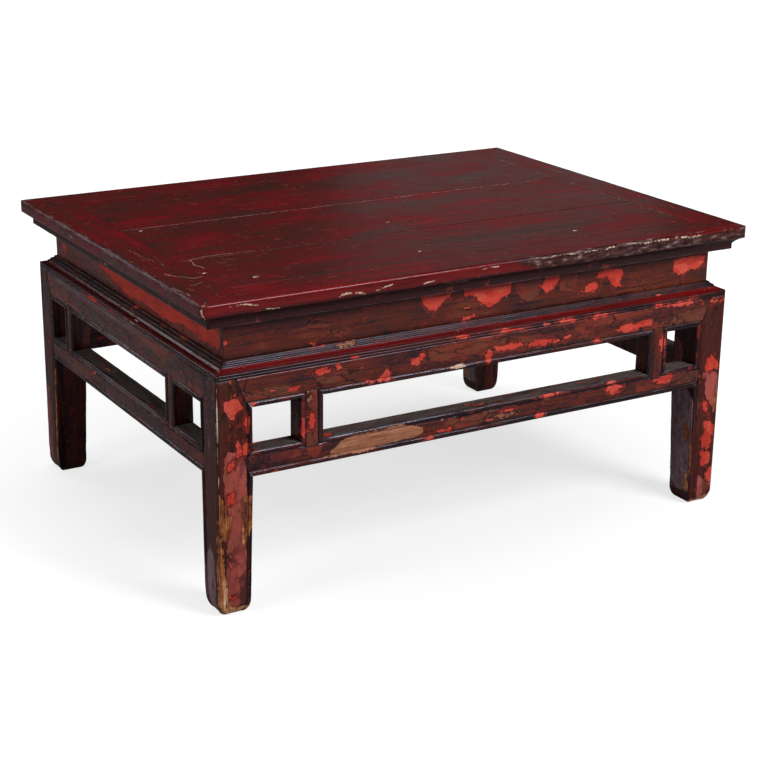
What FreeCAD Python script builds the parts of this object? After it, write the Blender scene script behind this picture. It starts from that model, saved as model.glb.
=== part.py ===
import FreeCAD, Part
import math
import os
import re
import Sketcher

# A lacquered kang table: a framed top on a recessed waist, a stepped moulding, and a base
# of four legs joined by beaded aprons, rails and short struts. All sizes are millimetres.
# X runs along the length, Y from front to back, Z up from the floor under the middle.

SIZES = {
    # Whole table
    "table_length": 800,
    "table_depth": 594,
    "table_height": 394,
    # Mitred frame of the top
    "top_rail_width": 55,
    "top_thickness": 33,
    "band_height": 17,
    "fillet_height": 7.5,
    "edge_setback": 13.5,
    "edge_hollow": 1.2,
    "upper_arris": 3,
    "lower_arris": 2.5,
    "corner_tenon_start": 22,
    "corner_tenon_end": 47,
    "corner_tenon_cover": 15,
    "corner_tenon_rise": 5,
    "corner_tenon_thickness": 9,
    # Boards of the top and the battens that hold them
    "board_thickness": 18,
    "front_board_width": 132,
    "back_board_width": 177,
    "board_lip": 6,
    "tongue_thickness": 6,
    "tongue_length": 8,
    "board_seam": 0.4,
    "batten_spacing": 380,
    "batten_width": 30,
    "batten_drop": 14,
    "dovetail_neck": 18,
    "dovetail_head": 24,
    "dovetail_height": 5,
    "batten_tenon_width": 14,
    "batten_tenon_rise": 3,
    "batten_tenon_height": 8,
    "batten_tenon_length": 12,
    # Base, measured in from the edge of the top
    "end_overhang": 20,
    "front_overhang": 9,
    # Waist under the top
    "waist_height": 45,
    "waist_inset": 20,
    "waist_thickness": 14,
    # Stepped moulding below the waist
    "moulding_height": 17.5,
    "reed_height": 3,
    "reed_swell": 0.8,
    "moulding_quirk": 0.6,
    "cove_run": 9.2,
    "cove_drop": 4.2,
    "cove_hollow": 1.5,
    "cove_lip": 1,
    "roll_run": 3.6,
    "roll_drop": 1.8,
    "roll_swell": 1.4,
    "cap_drop": 1.4,
    "cap_swell": 1,
    # Beaded members of the base
    "frame_thickness": 27,
    "bead_width": 7,
    "bead_rise": 2.2,
    "quirk_width": 1.2,
    "field_recess": 1,
    "apron_height": 38.5,
    "apron_arris": 3,
    "apron_mitre_inset": 27,
    "window_height": 54,
    "rail_height": 32.5,
    "strut_width_front": 31.5,
    "strut_width_side": 25,
    "window_front_left": 62.5,
    "window_front_right": 50,
    "window_side_front": 76,
    "window_side_back": 45,
    # Shoulders and tenons of the base
    "shoulder_depth": 9,
    "tenon_inset": 14,
    "tenon_thickness": 9,
    "apron_tenon_length": 20,
    "apron_tenon_margin": 7,
    "rail_tenon_length": 18,
    "rail_tenon_margin": 6,
    "strut_tenon_length": 13,
    "strut_tenon_margin": 6,
    # Legs
    "leg_width": 47,
    "leg_corner_radius": 4,
    "leg_corner_zone": 8.2,
    "leg_quirk": 1.2,
    "post_inset": 24.5,
    "post_tenon_inset": 32,
    "post_tenon_width": 10,
    "post_tenon_height": 15,
    "foot_spread": 1.5,
    "foot_taper": 5,
    "foot_wear": 2,
    "foot_wear_height": 32,
    "foot_corner_radius": 7.5,
    "foot_corner_zone": 10.5,
    # Reach of every cut past the faces that it opens
    "overrun": 5,
}

# Places that follow from the sizes above
PLACES = {
    "half_top_x": "table_length / 2",
    "half_top_y": "table_depth / 2",
    "half_leg_x": "half_top_x - end_overhang",
    "half_leg_y": "half_top_y - front_overhang",
    "panel_x": "half_top_x - top_rail_width",
    "panel_y": "half_top_y - top_rail_width",
    "soffit": "table_height - top_thickness",
    "tongue_top": "table_height - board_lip",
    "tongue_low": "tongue_top - tongue_thickness",
    "board_underside": "table_height - board_thickness",
    "moulding_top": "soffit - waist_height",
    "apron_top": "moulding_top - moulding_height",
    "apron_bottom": "apron_top - apron_height",
    "rail_top": "apron_bottom - window_height",
    "rail_bottom": "rail_top - rail_height",
    "bead_zone": "bead_width + quirk_width",
    "batten_tenon_low": "board_underside - batten_drop + batten_tenon_rise",
    "corner_tenon_low": "soffit + corner_tenon_rise",
    "apron_tenon_low": "apron_bottom + apron_tenon_margin",
    "apron_tenon_top": "apron_top - apron_tenon_margin",
    "rail_tenon_low": "rail_bottom + rail_tenon_margin",
    "rail_tenon_top": "rail_top - rail_tenon_margin",
    "waist_back": "waist_inset + waist_thickness",
}

# Each side of the table: the turn that brings its local frame round, the reach of the legs
# and of the top across and along it, its strut width, and the small windows at its two ends.
# In a side's local frame X runs along it, Y points inwards, and the viewer stands at -Y.
SIDES = {
    "front": dict(turn=0, face="half_leg_y", run="half_leg_x", top_face="half_top_y",
                  top_run="half_top_x", strut="strut_width_front",
                  windows=("window_front_left", "window_front_right")),
    "right": dict(turn=90, face="half_leg_x", run="half_leg_y", top_face="half_top_x",
                  top_run="half_top_y", strut="strut_width_side",
                  windows=("window_side_front", "window_side_back")),
    "back": dict(turn=180, face="half_leg_y", run="half_leg_x", top_face="half_top_y",
                 top_run="half_top_x", strut="strut_width_front",
                 windows=("window_front_right", "window_front_left")),
    "left": dict(turn=270, face="half_leg_x", run="half_leg_y", top_face="half_top_x",
                 top_run="half_top_y", strut="strut_width_side",
                 windows=("window_side_back", "window_side_front")),
}

DIRECTIONS = (-1, 1)


# Expressions

def expand(formula):
    """Turn a formula of size and place names into one that the document can evaluate."""
    def swap(match):
        word = match.group(0)
        if word in PLACES:
            return "(" + expand(PLACES[word]) + ")"
        return "Sizes." + word if word in SIZES else word
    return re.sub(r"[a-z_]+", swap, formula)


def amount(holder, formula):
    """Evaluate a formula of size names to a plain number."""
    return float(holder.evalExpression(expand(formula)))


def inward(face, depth):
    """Local Y of a point that lies a depth behind a side's outer face."""
    return f"-({face} - ({depth}))"


# Sketches

def origin_plane(body, role):
    for feature in body.Origin.OriginFeatures:
        if feature.Role == role:
            return feature
    raise RuntimeError("no plane " + role)


def add_edge(sketch, start, end, swell):
    """Add a line, or an arc that swells to the right of its travel (or hollows to the left).

    Returns the geometry index and which of its ends are the start and the end."""
    if swell is None:
        return sketch.addGeometry(Part.LineSegment(start, end), False), 1, 2
    chord = end - start
    rise = abs(swell)
    radius = chord.Length ** 2 / (8 * rise) + rise / 2
    left = FreeCAD.Vector(-chord.y, chord.x, 0).normalize()
    side = 1 if swell > 0 else -1
    centre = (start + end) * 0.5 + left * (side * (radius - rise))
    first, last = (start, end) if swell > 0 else (end, start)
    angle_first = math.atan2(first.y - centre.y, first.x - centre.x)
    angle_last = math.atan2(last.y - centre.y, last.x - centre.x)
    if angle_last < angle_first:
        angle_last += 2 * math.pi
    circle = Part.Circle(centre, FreeCAD.Vector(0, 0, 1), radius)
    index = sketch.addGeometry(Part.ArcOfCircle(circle, angle_first, angle_last), False)
    return (index, 1, 2) if swell > 0 else (index, 2, 1)


def bind(sketch, kind, place, value, formula):
    """Add one dimension to the sketch and tie it to its formula."""
    number = sketch.addConstraint(Sketcher.Constraint(kind, *place, value))
    sketch.setExpression(f"Constraints[{number}]", expand(formula))


def draw_loop(sketch, corners):
    """Draw one closed outline. A corner is (x, y) or (x, y, swell of the edge it starts)."""
    points = [FreeCAD.Vector(amount(sketch, c[0]), amount(sketch, c[1]), 0) for c in corners]
    following = points[1:] + points[:1]
    next_corners = corners[1:] + corners[:1]
    edges = []
    for corner, start, end in zip(corners, points, following):
        swell = amount(sketch, corner[2]) if len(corner) == 3 else None
        edges.append(add_edge(sketch, start, end, swell))
    for (index, _, tail), (after, head, _) in zip(edges, edges[1:] + edges[:1]):
        sketch.addConstraint(Sketcher.Constraint("Coincident", index, tail, after, head))
    for corner, beyond, point, (index, head, _) in zip(corners, next_corners, points, edges):
        bind(sketch, "DistanceX", (index, head), point.x, corner[0])
        bind(sketch, "DistanceY", (index, head), point.y, corner[1])
        if len(corner) == 3:
            run, climb = f"({beyond[0]} - ({corner[0]}))", f"({beyond[1]} - ({corner[1]}))"
            rise = f"abs({corner[2]})"
            radius = f"({run} ^ 2 + {climb} ^ 2) / (8 * {rise}) + {rise} / 2"
            bind(sketch, "Radius", (index,), amount(sketch, radius), radius)


def new_sketch(body, label, plane, height, loops):
    """Sketch the loops on one of the body's own planes, raised to a height along its normal."""
    sketch = body.newObject("Sketcher::SketchObject", label)
    sketch.AttachmentSupport = [(origin_plane(body, plane + "_Plane"), "")]
    sketch.MapMode = "FlatFace"
    sketch.setExpression("AttachmentOffset.Base.z", expand(height))
    for loop in loops:
        draw_loop(sketch, loop)
    return sketch


# Solids: the normals are +Z for XY, -Y for XZ and +X for YZ, so heights on XZ grow outwards.

def add_slab(body, label, plane, low, high, loops):
    """Pad the loops from the low to the high height along the plane's normal."""
    pad = body.newObject("PartDesign::Pad", label)
    pad.Profile = new_sketch(body, label + "_outline", plane, low, loops)
    pad.setExpression("Length", expand(f"({high}) - ({low})"))
    return pad


def cut_slab(body, label, plane, low, high, loops):
    """Cut the loops out of the body between the low and the high height."""
    pocket = body.newObject("PartDesign::Pocket", label)
    pocket.Profile = new_sketch(body, label + "_outline", plane, high, loops)
    pocket.setExpression("Length", expand(f"({high}) - ({low})"))
    return pocket


def rectangle(x_low, x_high, y_low, y_high):
    return [(x_low, y_low), (x_high, y_low), (x_high, y_high), (x_low, y_high)]


def flip(loop):
    """The loop's mirror image in the sketch's upright axis."""
    return [(f"-({corner[0]})", corner[1]) for corner in loop]


def both_ends(loop):
    return [loop, flip(loop)]


def new_body(doc, label, turn=0):
    body = doc.addObject("PartDesign::Body", label)
    body.Label = label
    body.Placement.Rotation = FreeCAD.Rotation(FreeCAD.Vector(0, 0, 1), turn)
    return body


# Shared cuts

def mitre_ends(body, face, run, low, high, depth):
    """Cut both ends of a member at 45 degrees from its outer corner to past its depth."""
    far = f"({depth} + overrun)"
    loop = [(run, inward(face, "0")),
            (f"{run} + overrun", inward(face, "0")),
            (f"{run} + overrun", inward(face, far)),
            (f"{run} - {far}", inward(face, far))]
    cut_slab(body, "end_mitres", "XY", f"{low} - overrun", f"{high} + overrun", both_ends(loop))


def clear_posts(body, side, low, high):
    """Rebate a strip's ends behind, where the upper posts of the legs stand."""
    loop = rectangle(f"{side['run']} - leg_width", f"{side['run']}",
                     inward(side["face"], "post_inset"),
                     inward(side["face"], "waist_back + overrun"))
    cut_slab(body, "post_rebates", "XY", f"{low} - overrun", f"{high} + overrun",
             both_ends(loop))


def square_back_layer(body, side, low, high):
    """Stop all but the front layer of a member at the inner faces of the legs."""
    loop = rectangle(f"{side['run']} - leg_width", f"{side['run']} + overrun",
                     inward(side["face"], "shoulder_depth"),
                     inward(side["face"], "frame_thickness + overrun"))
    cut_slab(body, "back_layer_ends", "XY", f"{low} - overrun", f"{high} + overrun",
             both_ends(loop))


def end_tenons(body, side, low, high, length):
    loop = rectangle(f"{side['run']} - leg_width", f"{side['run']} - leg_width + {length}",
                     inward(side["face"], "tenon_inset"),
                     inward(side["face"], "tenon_inset + tenon_thickness"))
    add_slab(body, "end_tenons", "XY", low, high, both_ends(loop))


def strut_centres(side):
    """Local X of the two struts, from the clear widths of the small windows beside them."""
    inner = f"({side['run']} - leg_width)"
    left, right = side["windows"]
    return (f"(-{inner} + {left} + {side['strut']} / 2)",
            f"({inner} - {right} - {side['strut']} / 2)")


def strut_seats(body, side, edge, into):
    """Cut the mitred notches and the mortises for two struts in an edge at a given height.

    into is '+' where the member lies above the edge and '-' where it lies below."""
    notches, mortises = [], []
    for centre in strut_centres(side):
        half = f"{side['strut']} / 2"
        notches.append([(f"{centre} - {half}", edge),
                        (f"{centre} + {half}", edge),
                        (f"{centre} + {half} - bead_zone", f"{edge} {into} bead_zone"),
                        (f"{centre} - {half} + bead_zone", f"{edge} {into} bead_zone")])
        mortises.append(rectangle(f"{centre} - {half} + strut_tenon_margin",
                                  f"{centre} + {half} - strut_tenon_margin",
                                  inward(side["face"], "tenon_inset"),
                                  inward(side["face"], "tenon_inset + tenon_thickness")))
    cut_slab(body, "strut_notches", "XZ", f"{side['face']} - shoulder_depth",
             f"{side['face']} + overrun", notches)
    ends = (edge, f"{edge} {into} strut_tenon_length")
    low, high = ends if into == "+" else ends[::-1]
    cut_slab(body, "strut_mortises", "XY", low, high, mortises)


# Top

def top_rail_section(face):
    """Rounded band over a hollow and a set-back fillet, with the boards' groove behind."""
    groove = "top_rail_width - tongue_length - board_seam"
    fillet_top = "soffit + fillet_height"
    band_low = "table_height - band_height"
    return [(inward(face, "edge_setback"), "soffit"),
            (inward(face, "top_rail_width"), "soffit"),
            (inward(face, "top_rail_width"), "tongue_low"),
            (inward(face, groove), "tongue_low"),
            (inward(face, groove), "tongue_top"),
            (inward(face, "top_rail_width"), "tongue_top"),
            (inward(face, "top_rail_width"), "table_height"),
            (inward(face, "upper_arris"), "table_height", "upper_arris * (1 - sqrt(2) / 2)"),
            (inward(face, "0"), "table_height - upper_arris"),
            (inward(face, "0"), f"{band_low} + lower_arris",
             "lower_arris * (1 - sqrt(2) / 2)"),
            (inward(face, "lower_arris"), band_low, "-edge_hollow"),
            (inward(face, "edge_setback"), fillet_top)]


def corner_tenon_loop(face, run, long_rail):
    """Plan of the tenon beyond the mitre, seen from the long rail or from the short one."""
    corners = [("corner_tenon_start", "corner_tenon_start"),
               ("corner_tenon_start", "corner_tenon_cover"),
               ("corner_tenon_end", "corner_tenon_cover"),
               ("corner_tenon_end", "corner_tenon_end")]
    if not long_rail:
        corners = [(end, across) for across, end in corners]
    return [(f"{run} - {end}", inward(face, across)) for across, end in corners]


def build_top_rail(doc, name):
    side = SIDES[name]
    long_rail = name in ("front", "back")
    face, run = side["top_face"], side["top_run"]
    body = new_body(doc, f"top_{name}_rail", side["turn"])
    add_slab(body, "moulded_rail", "YZ", f"-{run}", run, [top_rail_section(face)])
    mitre_ends(body, face, run, "soffit", "table_height", "top_rail_width")
    tenon_top = "corner_tenon_low + corner_tenon_thickness"
    tenons = both_ends(corner_tenon_loop(face, run, long_rail))
    if long_rail:
        add_slab(body, "corner_tenons", "XY", "corner_tenon_low", tenon_top, tenons)
        cut_long_rail_mortises(body, side)
    else:
        cut_slab(body, "corner_mortises", "XY", "corner_tenon_low", tenon_top, tenons)
    return body


def cut_long_rail_mortises(body, side):
    """Seats in a long rail for the tenons of two legs and of two battens."""
    post = rectangle(f"{side['run']} - post_tenon_inset - post_tenon_width",
                     f"{side['run']} - post_tenon_inset",
                     inward(side["face"], "post_tenon_inset"),
                     inward(side["face"], "post_tenon_inset + post_tenon_width"))
    cut_slab(body, "leg_mortises", "XY", "soffit", "soffit + post_tenon_height",
             both_ends(post))
    batten = rectangle("batten_spacing / 2 - batten_tenon_width / 2",
                       "batten_spacing / 2 + batten_tenon_width / 2",
                       "-(panel_y + batten_tenon_length)", "-panel_y + overrun")
    cut_slab(body, "batten_mortises", "XY", "batten_tenon_low",
             "batten_tenon_low + batten_tenon_height", both_ends(batten))


def board_section(front, back, first):
    """A board from its front to its back edge, tongued behind and grooved in front.

    The first board has a tongue in front too, for the groove of the front rail."""
    low, high = "tongue_low", "tongue_top"
    reach = "tongue_length" if first else "-(tongue_length + board_seam)"
    front_edge = f"({front}) - ({reach})"
    return [(front, "board_underside"), (back, "board_underside"),
            (back, low), (f"({back}) + tongue_length", low),
            (f"({back}) + tongue_length", high), (back, high),
            (back, "table_height"), (front, "table_height"),
            (front, high), (front_edge, high), (front_edge, low), (front, low)]


def dovetail_loop(centre):
    """Cross-section of a batten's dovetail, standing on the boards' underside."""
    top = "board_underside + dovetail_height"
    return [(f"{centre} - dovetail_neck / 2", "board_underside"),
            (f"{centre} + dovetail_neck / 2", "board_underside"),
            (f"{centre} + dovetail_head / 2", top),
            (f"{centre} - dovetail_head / 2", top)]


def build_board(doc, label, front, back, first=False):
    body = new_body(doc, label)
    end = "(panel_x - board_seam)"
    tip = f"({end} + tongue_length)"
    add_slab(body, "board", "YZ", f"-{tip}", tip, [board_section(front, back, first)])
    upper = rectangle(end, f"{tip} + overrun", "tongue_top", "table_height + overrun")
    lower = rectangle(end, f"{tip} + overrun", "board_underside - overrun", "tongue_low")
    cut_slab(body, "end_tongues", "XZ", "-half_top_y", "half_top_y",
             both_ends(upper) + both_ends(lower))
    grooves = [dovetail_loop(f"{sign} * batten_spacing / 2") for sign in DIRECTIONS]
    cut_slab(body, "batten_grooves", "XZ", "-half_top_y", "half_top_y", grooves)
    return body


def build_boards(doc):
    front_seam = "(-panel_y + front_board_width)"
    back_seam = "(panel_y - back_board_width)"
    build_board(doc, "top_board_front", "-panel_y + board_seam", front_seam, first=True)
    build_board(doc, "top_board_middle", f"{front_seam} + board_seam", back_seam)
    build_board(doc, "top_board_back", f"{back_seam} + board_seam", "panel_y - board_seam")


def build_batten(doc, label, sign):
    """A batten across the boards, dovetailed into them and tenoned into the long rails."""
    body = new_body(doc, label, turn=90)
    body.setExpression("Placement.Base.x", expand(f"{sign} * batten_spacing / 2"))
    low = "board_underside - batten_drop"
    bar = rectangle("-batten_width / 2", "batten_width / 2", low, "board_underside")
    add_slab(body, "bar", "YZ", "-panel_y", "panel_y", [bar])
    add_slab(body, "dovetail", "YZ", "-panel_y + board_seam", "panel_y - board_seam",
             [dovetail_loop("0")])
    tenon = rectangle("panel_y", "panel_y + batten_tenon_length",
                      "-batten_tenon_width / 2", "batten_tenon_width / 2")
    add_slab(body, "tenons", "XY", "batten_tenon_low",
             "batten_tenon_low + batten_tenon_height", both_ends(tenon))
    return body


# Waist and moulding

def build_waist(doc, name):
    side = SIDES[name]
    body = new_body(doc, f"waist_{name}", side["turn"])
    reach = f"({side['run']} - waist_inset)"
    section = rectangle(inward(side["face"], "waist_inset"), inward(side["face"], "waist_back"),
                        "moulding_top", "soffit")
    add_slab(body, "strip", "YZ", f"-{reach}", reach, [section])
    mitre_ends(body, f"({side['face']} - waist_inset)", reach, "moulding_top", "soffit",
               "waist_thickness")
    clear_posts(body, side, "moulding_top", "soffit")
    return body


def moulding_section(face):
    """From the floor of the strip up: two reeds, a broad cove, a roll and a cap bead."""
    first_reed = "apron_top + reed_height"
    second_reed = f"{first_reed} + moulding_quirk"
    cove_out = "2 * reed_swell"
    cove_in = f"{cove_out} + cove_run"
    cove_low = f"{second_reed} + reed_height + moulding_quirk"
    cove_top = f"{cove_low} + cove_drop"
    roll_out = f"{cove_in} + cove_lip + moulding_quirk"
    roll_in = f"{roll_out} + roll_run"
    roll_low = f"{cove_top} + moulding_quirk"
    cap_out = f"{roll_in} + moulding_quirk"
    return [(inward(face, "reed_swell"), "apron_top"),
            (inward(face, "waist_back"), "apron_top"),
            (inward(face, "waist_back"), "moulding_top"),
            (inward(face, "waist_inset"), "moulding_top", "cap_swell"),
            (inward(face, cap_out), "moulding_top - cap_drop"),
            (inward(face, roll_in), f"{roll_low} + roll_drop", "roll_swell"),
            (inward(face, roll_out), roll_low),
            (inward(face, f"{cove_in} + cove_lip"), f"{cove_top} - moulding_quirk"),
            (inward(face, cove_in), cove_top, "-cove_hollow"),
            (inward(face, cove_out), cove_low),
            (inward(face, "reed_swell"), f"{second_reed} + reed_height", "reed_swell"),
            (inward(face, "reed_swell"), second_reed),
            (inward(face, "reed_swell + moulding_quirk"), f"{first_reed} + moulding_quirk / 2"),
            (inward(face, "reed_swell"), first_reed, "reed_swell")]


def build_moulding(doc, name):
    side = SIDES[name]
    body = new_body(doc, f"moulding_{name}", side["turn"])
    add_slab(body, "strip", "YZ", f"-{side['run']}", side["run"],
             [moulding_section(side["face"])])
    mitre_ends(body, side["face"], side["run"], "apron_top", "moulding_top", "waist_back")
    clear_posts(body, side, "apron_top", "moulding_top")
    return body


# Base

def apron_section(face):
    """A flat board with a raised bead along its lower edge and an eased upper arris."""
    arris = "apron_arris * (1 - sqrt(2) / 2)"
    return [(inward(face, "bead_rise"), "apron_bottom"),
            (inward(face, "frame_thickness"), "apron_bottom"),
            (inward(face, "frame_thickness"), "apron_top"),
            (inward(face, "field_recess + apron_arris"), "apron_top", arris),
            (inward(face, "field_recess"), "apron_top - apron_arris"),
            (inward(face, "field_recess"), "apron_bottom + bead_zone"),
            (inward(face, "bead_rise"), "apron_bottom + bead_width", "bead_rise")]


def apron_mitre_loop(side):
    """The part of an apron's front layer that belongs to the leg: a short 45 degree mitre
    at the bead, then a steeper line up to the moulding."""
    inner = f"{side['run']} - leg_width"
    return [(inner, "apron_bottom - overrun"),
            (f"{side['run']} + overrun", "apron_bottom - overrun"),
            (f"{side['run']} + overrun", "apron_top + overrun"),
            (f"{side['run']} - apron_mitre_inset", "apron_top + overrun"),
            (f"{side['run']} - apron_mitre_inset", "apron_top"),
            (f"{inner} + bead_zone", "apron_bottom + bead_zone"),
            (inner, "apron_bottom")]


def build_apron(doc, name):
    side = SIDES[name]
    body = new_body(doc, f"apron_{name}", side["turn"])
    reach = f"({side['run']} - apron_mitre_inset)"
    add_slab(body, "board", "YZ", f"-{reach}", reach, [apron_section(side["face"])])
    square_back_layer(body, side, "apron_bottom", "apron_top")
    cut_slab(body, "shoulder_mitres", "XZ", f"{side['face']} - shoulder_depth",
             f"{side['face']} + overrun", both_ends(apron_mitre_loop(side)))
    strut_seats(body, side, "apron_bottom", "+")
    end_tenons(body, side, "apron_tenon_low", "apron_tenon_top", "apron_tenon_length")
    return body


def rail_section(face):
    """A flat rail with a raised bead along both edges of its outer face."""
    return [(inward(face, "bead_rise"), "rail_bottom"),
            (inward(face, "frame_thickness"), "rail_bottom"),
            (inward(face, "frame_thickness"), "rail_top"),
            (inward(face, "bead_rise"), "rail_top", "bead_rise"),
            (inward(face, "bead_rise"), "rail_top - bead_width"),
            (inward(face, "field_recess"), "rail_top - bead_zone"),
            (inward(face, "field_recess"), "rail_bottom + bead_zone"),
            (inward(face, "bead_rise"), "rail_bottom + bead_width", "bead_rise")]


def build_rail(doc, name):
    side = SIDES[name]
    body = new_body(doc, f"rail_{name}", side["turn"])
    inner = f"{side['run']} - leg_width"
    reach = f"({inner} + bead_zone)"
    add_slab(body, "bar", "YZ", f"-{reach}", reach, [rail_section(side["face"])])
    square_back_layer(body, side, "rail_bottom", "rail_top")
    past = "(bead_zone + overrun)"
    lower = [(inner, "rail_bottom"), (f"{inner} + {past}", "rail_bottom"),
             (f"{inner} + {past}", f"rail_bottom + {past}")]
    upper = [(inner, "rail_top"), (f"{inner} + {past}", "rail_top"),
             (f"{inner} + {past}", f"rail_top - {past}")]
    cut_slab(body, "shoulder_mitres", "XZ", f"{side['face']} - shoulder_depth",
             f"{side['face']} + overrun", both_ends(lower) + both_ends(upper))
    strut_seats(body, side, "rail_top", "-")
    end_tenons(body, side, "rail_tenon_low", "rail_tenon_top", "rail_tenon_length")
    return body


def strut_section(face, width):
    """Plan of a strut with a raised bead up each edge of its outer face."""
    half = f"{width} / 2"
    return [(f"-{half}", inward(face, "frame_thickness")),
            (f"-{half}", inward(face, "bead_rise"), "bead_rise"),
            (f"-{half} + bead_width", inward(face, "bead_rise")),
            (f"-{half} + bead_zone", inward(face, "field_recess")),
            (f"{half} - bead_zone", inward(face, "field_recess")),
            (f"{half} - bead_width", inward(face, "bead_rise"), "bead_rise"),
            (half, inward(face, "bead_rise")),
            (half, inward(face, "frame_thickness"))]


def place_along(body, side, centre):
    """Move a body along its side to a local X, whichever way the side is turned."""
    turn = math.radians(side["turn"])
    cosine, sine = round(math.cos(turn)), round(math.sin(turn))
    body.setExpression("Placement.Base.x", expand(f"{cosine} * {centre}"))
    body.setExpression("Placement.Base.y", expand(f"{sine} * {centre}"))


def build_strut(doc, label, side, centre):
    """A short strut whose front layer ends in mitred points, tenoned above and below."""
    body = new_body(doc, label, side["turn"])
    place_along(body, side, centre)
    face, half = side["face"], f"{side['strut']} / 2"
    tip_low, tip_top = "rail_top - bead_zone", "apron_bottom + bead_zone"
    add_slab(body, "post", "XY", tip_low, tip_top, [strut_section(face, side["strut"])])
    back = rectangle(f"-{half} - overrun", f"{half} + overrun",
                     inward(face, "shoulder_depth"), inward(face, "frame_thickness + overrun"))
    cut_slab(body, "back_layer_foot", "XY", f"{tip_low} - overrun", "rail_top", [back])
    cut_slab(body, "back_layer_head", "XY", "apron_bottom", f"{tip_top} + overrun", [back])
    past = "(bead_zone + overrun)"
    head = [(half, "apron_bottom"), (half, f"apron_bottom + {past}"),
            (f"{half} - {past}", f"apron_bottom + {past}")]
    foot = [(half, "rail_top"), (half, f"rail_top - {past}"),
            (f"{half} - {past}", f"rail_top - {past}")]
    cut_slab(body, "head_mitres", "XZ", f"{face} - shoulder_depth - overrun",
             f"{face} + overrun", both_ends(head))
    cut_slab(body, "foot_mitres", "XZ", f"{face} - shoulder_depth - overrun",
             f"{face} + overrun", both_ends(foot))
    tenon = rectangle(f"-{half} + strut_tenon_margin", f"{half} - strut_tenon_margin",
                      inward(face, "tenon_inset"),
                      inward(face, "tenon_inset + tenon_thickness"))
    add_slab(body, "head_tenon", "XY", "apron_bottom", "apron_bottom + strut_tenon_length",
             [tenon])
    add_slab(body, "foot_tenon", "XY", "rail_top - strut_tenon_length", "rail_top", [tenon])
    return body


def build_struts(doc, name):
    side = SIDES[name]
    for end, centre in zip(("a", "b"), strut_centres(side)):
        build_strut(doc, f"strut_{name}_{end}", side, centre)


# Legs, each in a local frame whose origin is its outer corner, with X and Y inwards

def leg_outline(spread, radius, zone, taper="0"):
    """Plan of a leg: an eased, quirked outer corner, two fields and two inner beads.

    spread moves the two outer faces outwards, and taper moves the inner ones to them."""
    skin = f"(-({spread}))"
    field = f"({skin} + field_recess)"
    bead = f"({skin} + bead_rise)"
    inner = f"(leg_width - {taper})"
    bead_side, zone_end = f"{inner} - bead_width", f"{inner} - bead_zone"
    corner = f"{radius} * (1 - sqrt(2) / 2)"
    return [(f"{skin} + {radius}", skin), (f"{skin} + {zone} - leg_quirk", skin),
            (f"{skin} + {zone}", field), (zone_end, field),
            (bead_side, bead, "bead_rise"), (inner, bead),
            (inner, inner),
            (bead, inner, "bead_rise"), (bead, bead_side),
            (field, zone_end), (field, f"{skin} + {zone}"),
            (skin, f"{skin} + {zone} - leg_quirk"), (skin, f"{skin} + {radius}", corner)]


def swap_axes(loops):
    """The same loops for the leg's other outer face, mirrored in its diagonal."""
    return [[(corner[1], corner[0]) for corner in loop] for loop in loops]


def cut_leg_faces(body):
    """Recess both outer faces for the shoulders of the aprons and of the rails."""
    apron = [("leg_width + overrun", "apron_bottom"), ("leg_width", "apron_bottom"),
             ("leg_width - bead_zone", "apron_bottom + bead_zone"),
             ("apron_mitre_inset", "apron_top"), ("apron_mitre_inset", "apron_top + overrun"),
             ("leg_width + overrun", "apron_top + overrun")]
    rail = [("leg_width", "rail_bottom"), ("leg_width", "rail_top"),
            ("leg_width - bead_zone", "rail_top - bead_zone"),
            ("leg_width - bead_zone", "rail_bottom + bead_zone")]
    cut_slab(body, "front_seats", "XZ", "-shoulder_depth", "foot_spread + overrun",
             [apron, rail])
    cut_slab(body, "side_seats", "YZ", "-foot_spread - overrun", "shoulder_depth",
             [apron, rail])


def cut_leg_mortises(body):
    for label, low, high, length in (
            ("apron_mortises", "apron_tenon_low", "apron_tenon_top", "apron_tenon_length"),
            ("rail_mortises", "rail_tenon_low", "rail_tenon_top", "rail_tenon_length")):
        mortise = [rectangle(f"leg_width - {length}", "leg_width + overrun",
                             "tenon_inset", "tenon_inset + tenon_thickness")]
        cut_slab(body, label, "XY", low, high, mortise + swap_axes(mortise))


def build_leg(doc, label, turn, x_sign, y_sign):
    """A leg that swells a little to its foot, worn round at the outer corner there."""
    body = new_body(doc, label, turn)
    body.setExpression("Placement.Base.x", expand(f"{x_sign} * half_leg_x"))
    body.setExpression("Placement.Base.y", expand(f"{y_sign} * half_leg_y"))
    upper = [leg_outline("0", "leg_corner_radius", "leg_corner_zone")]
    swollen = [leg_outline("foot_spread", "leg_corner_radius", "leg_corner_zone",
                           "foot_taper")]
    worn = [leg_outline("foot_spread - foot_wear", "foot_corner_radius", "foot_corner_zone",
                        "foot_taper")]
    add_slab(body, "upper_leg", "XY", "rail_bottom", "apron_top", upper)
    loft = body.newObject("PartDesign::AdditiveLoft", "lower_leg")
    loft.Profile = new_sketch(body, "worn_foot_outline", "XY", "0", worn)
    loft.Sections = [new_sketch(body, "ankle_outline", "XY", "foot_wear_height", swollen),
                     new_sketch(body, "knee_outline", "XY", "rail_bottom", upper)]
    loft.Ruled = True
    post = [rectangle("post_inset", "leg_width", "post_inset", "leg_width")]
    add_slab(body, "upper_post", "XY", "apron_top", "soffit", post)
    tenon_end = "post_tenon_inset + post_tenon_width"
    tenon = [rectangle("post_tenon_inset", tenon_end, "post_tenon_inset", tenon_end)]
    add_slab(body, "post_tenon", "XY", "soffit", "soffit + post_tenon_height", tenon)
    cut_leg_faces(body)
    cut_leg_mortises(body)
    return body


# Document

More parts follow.
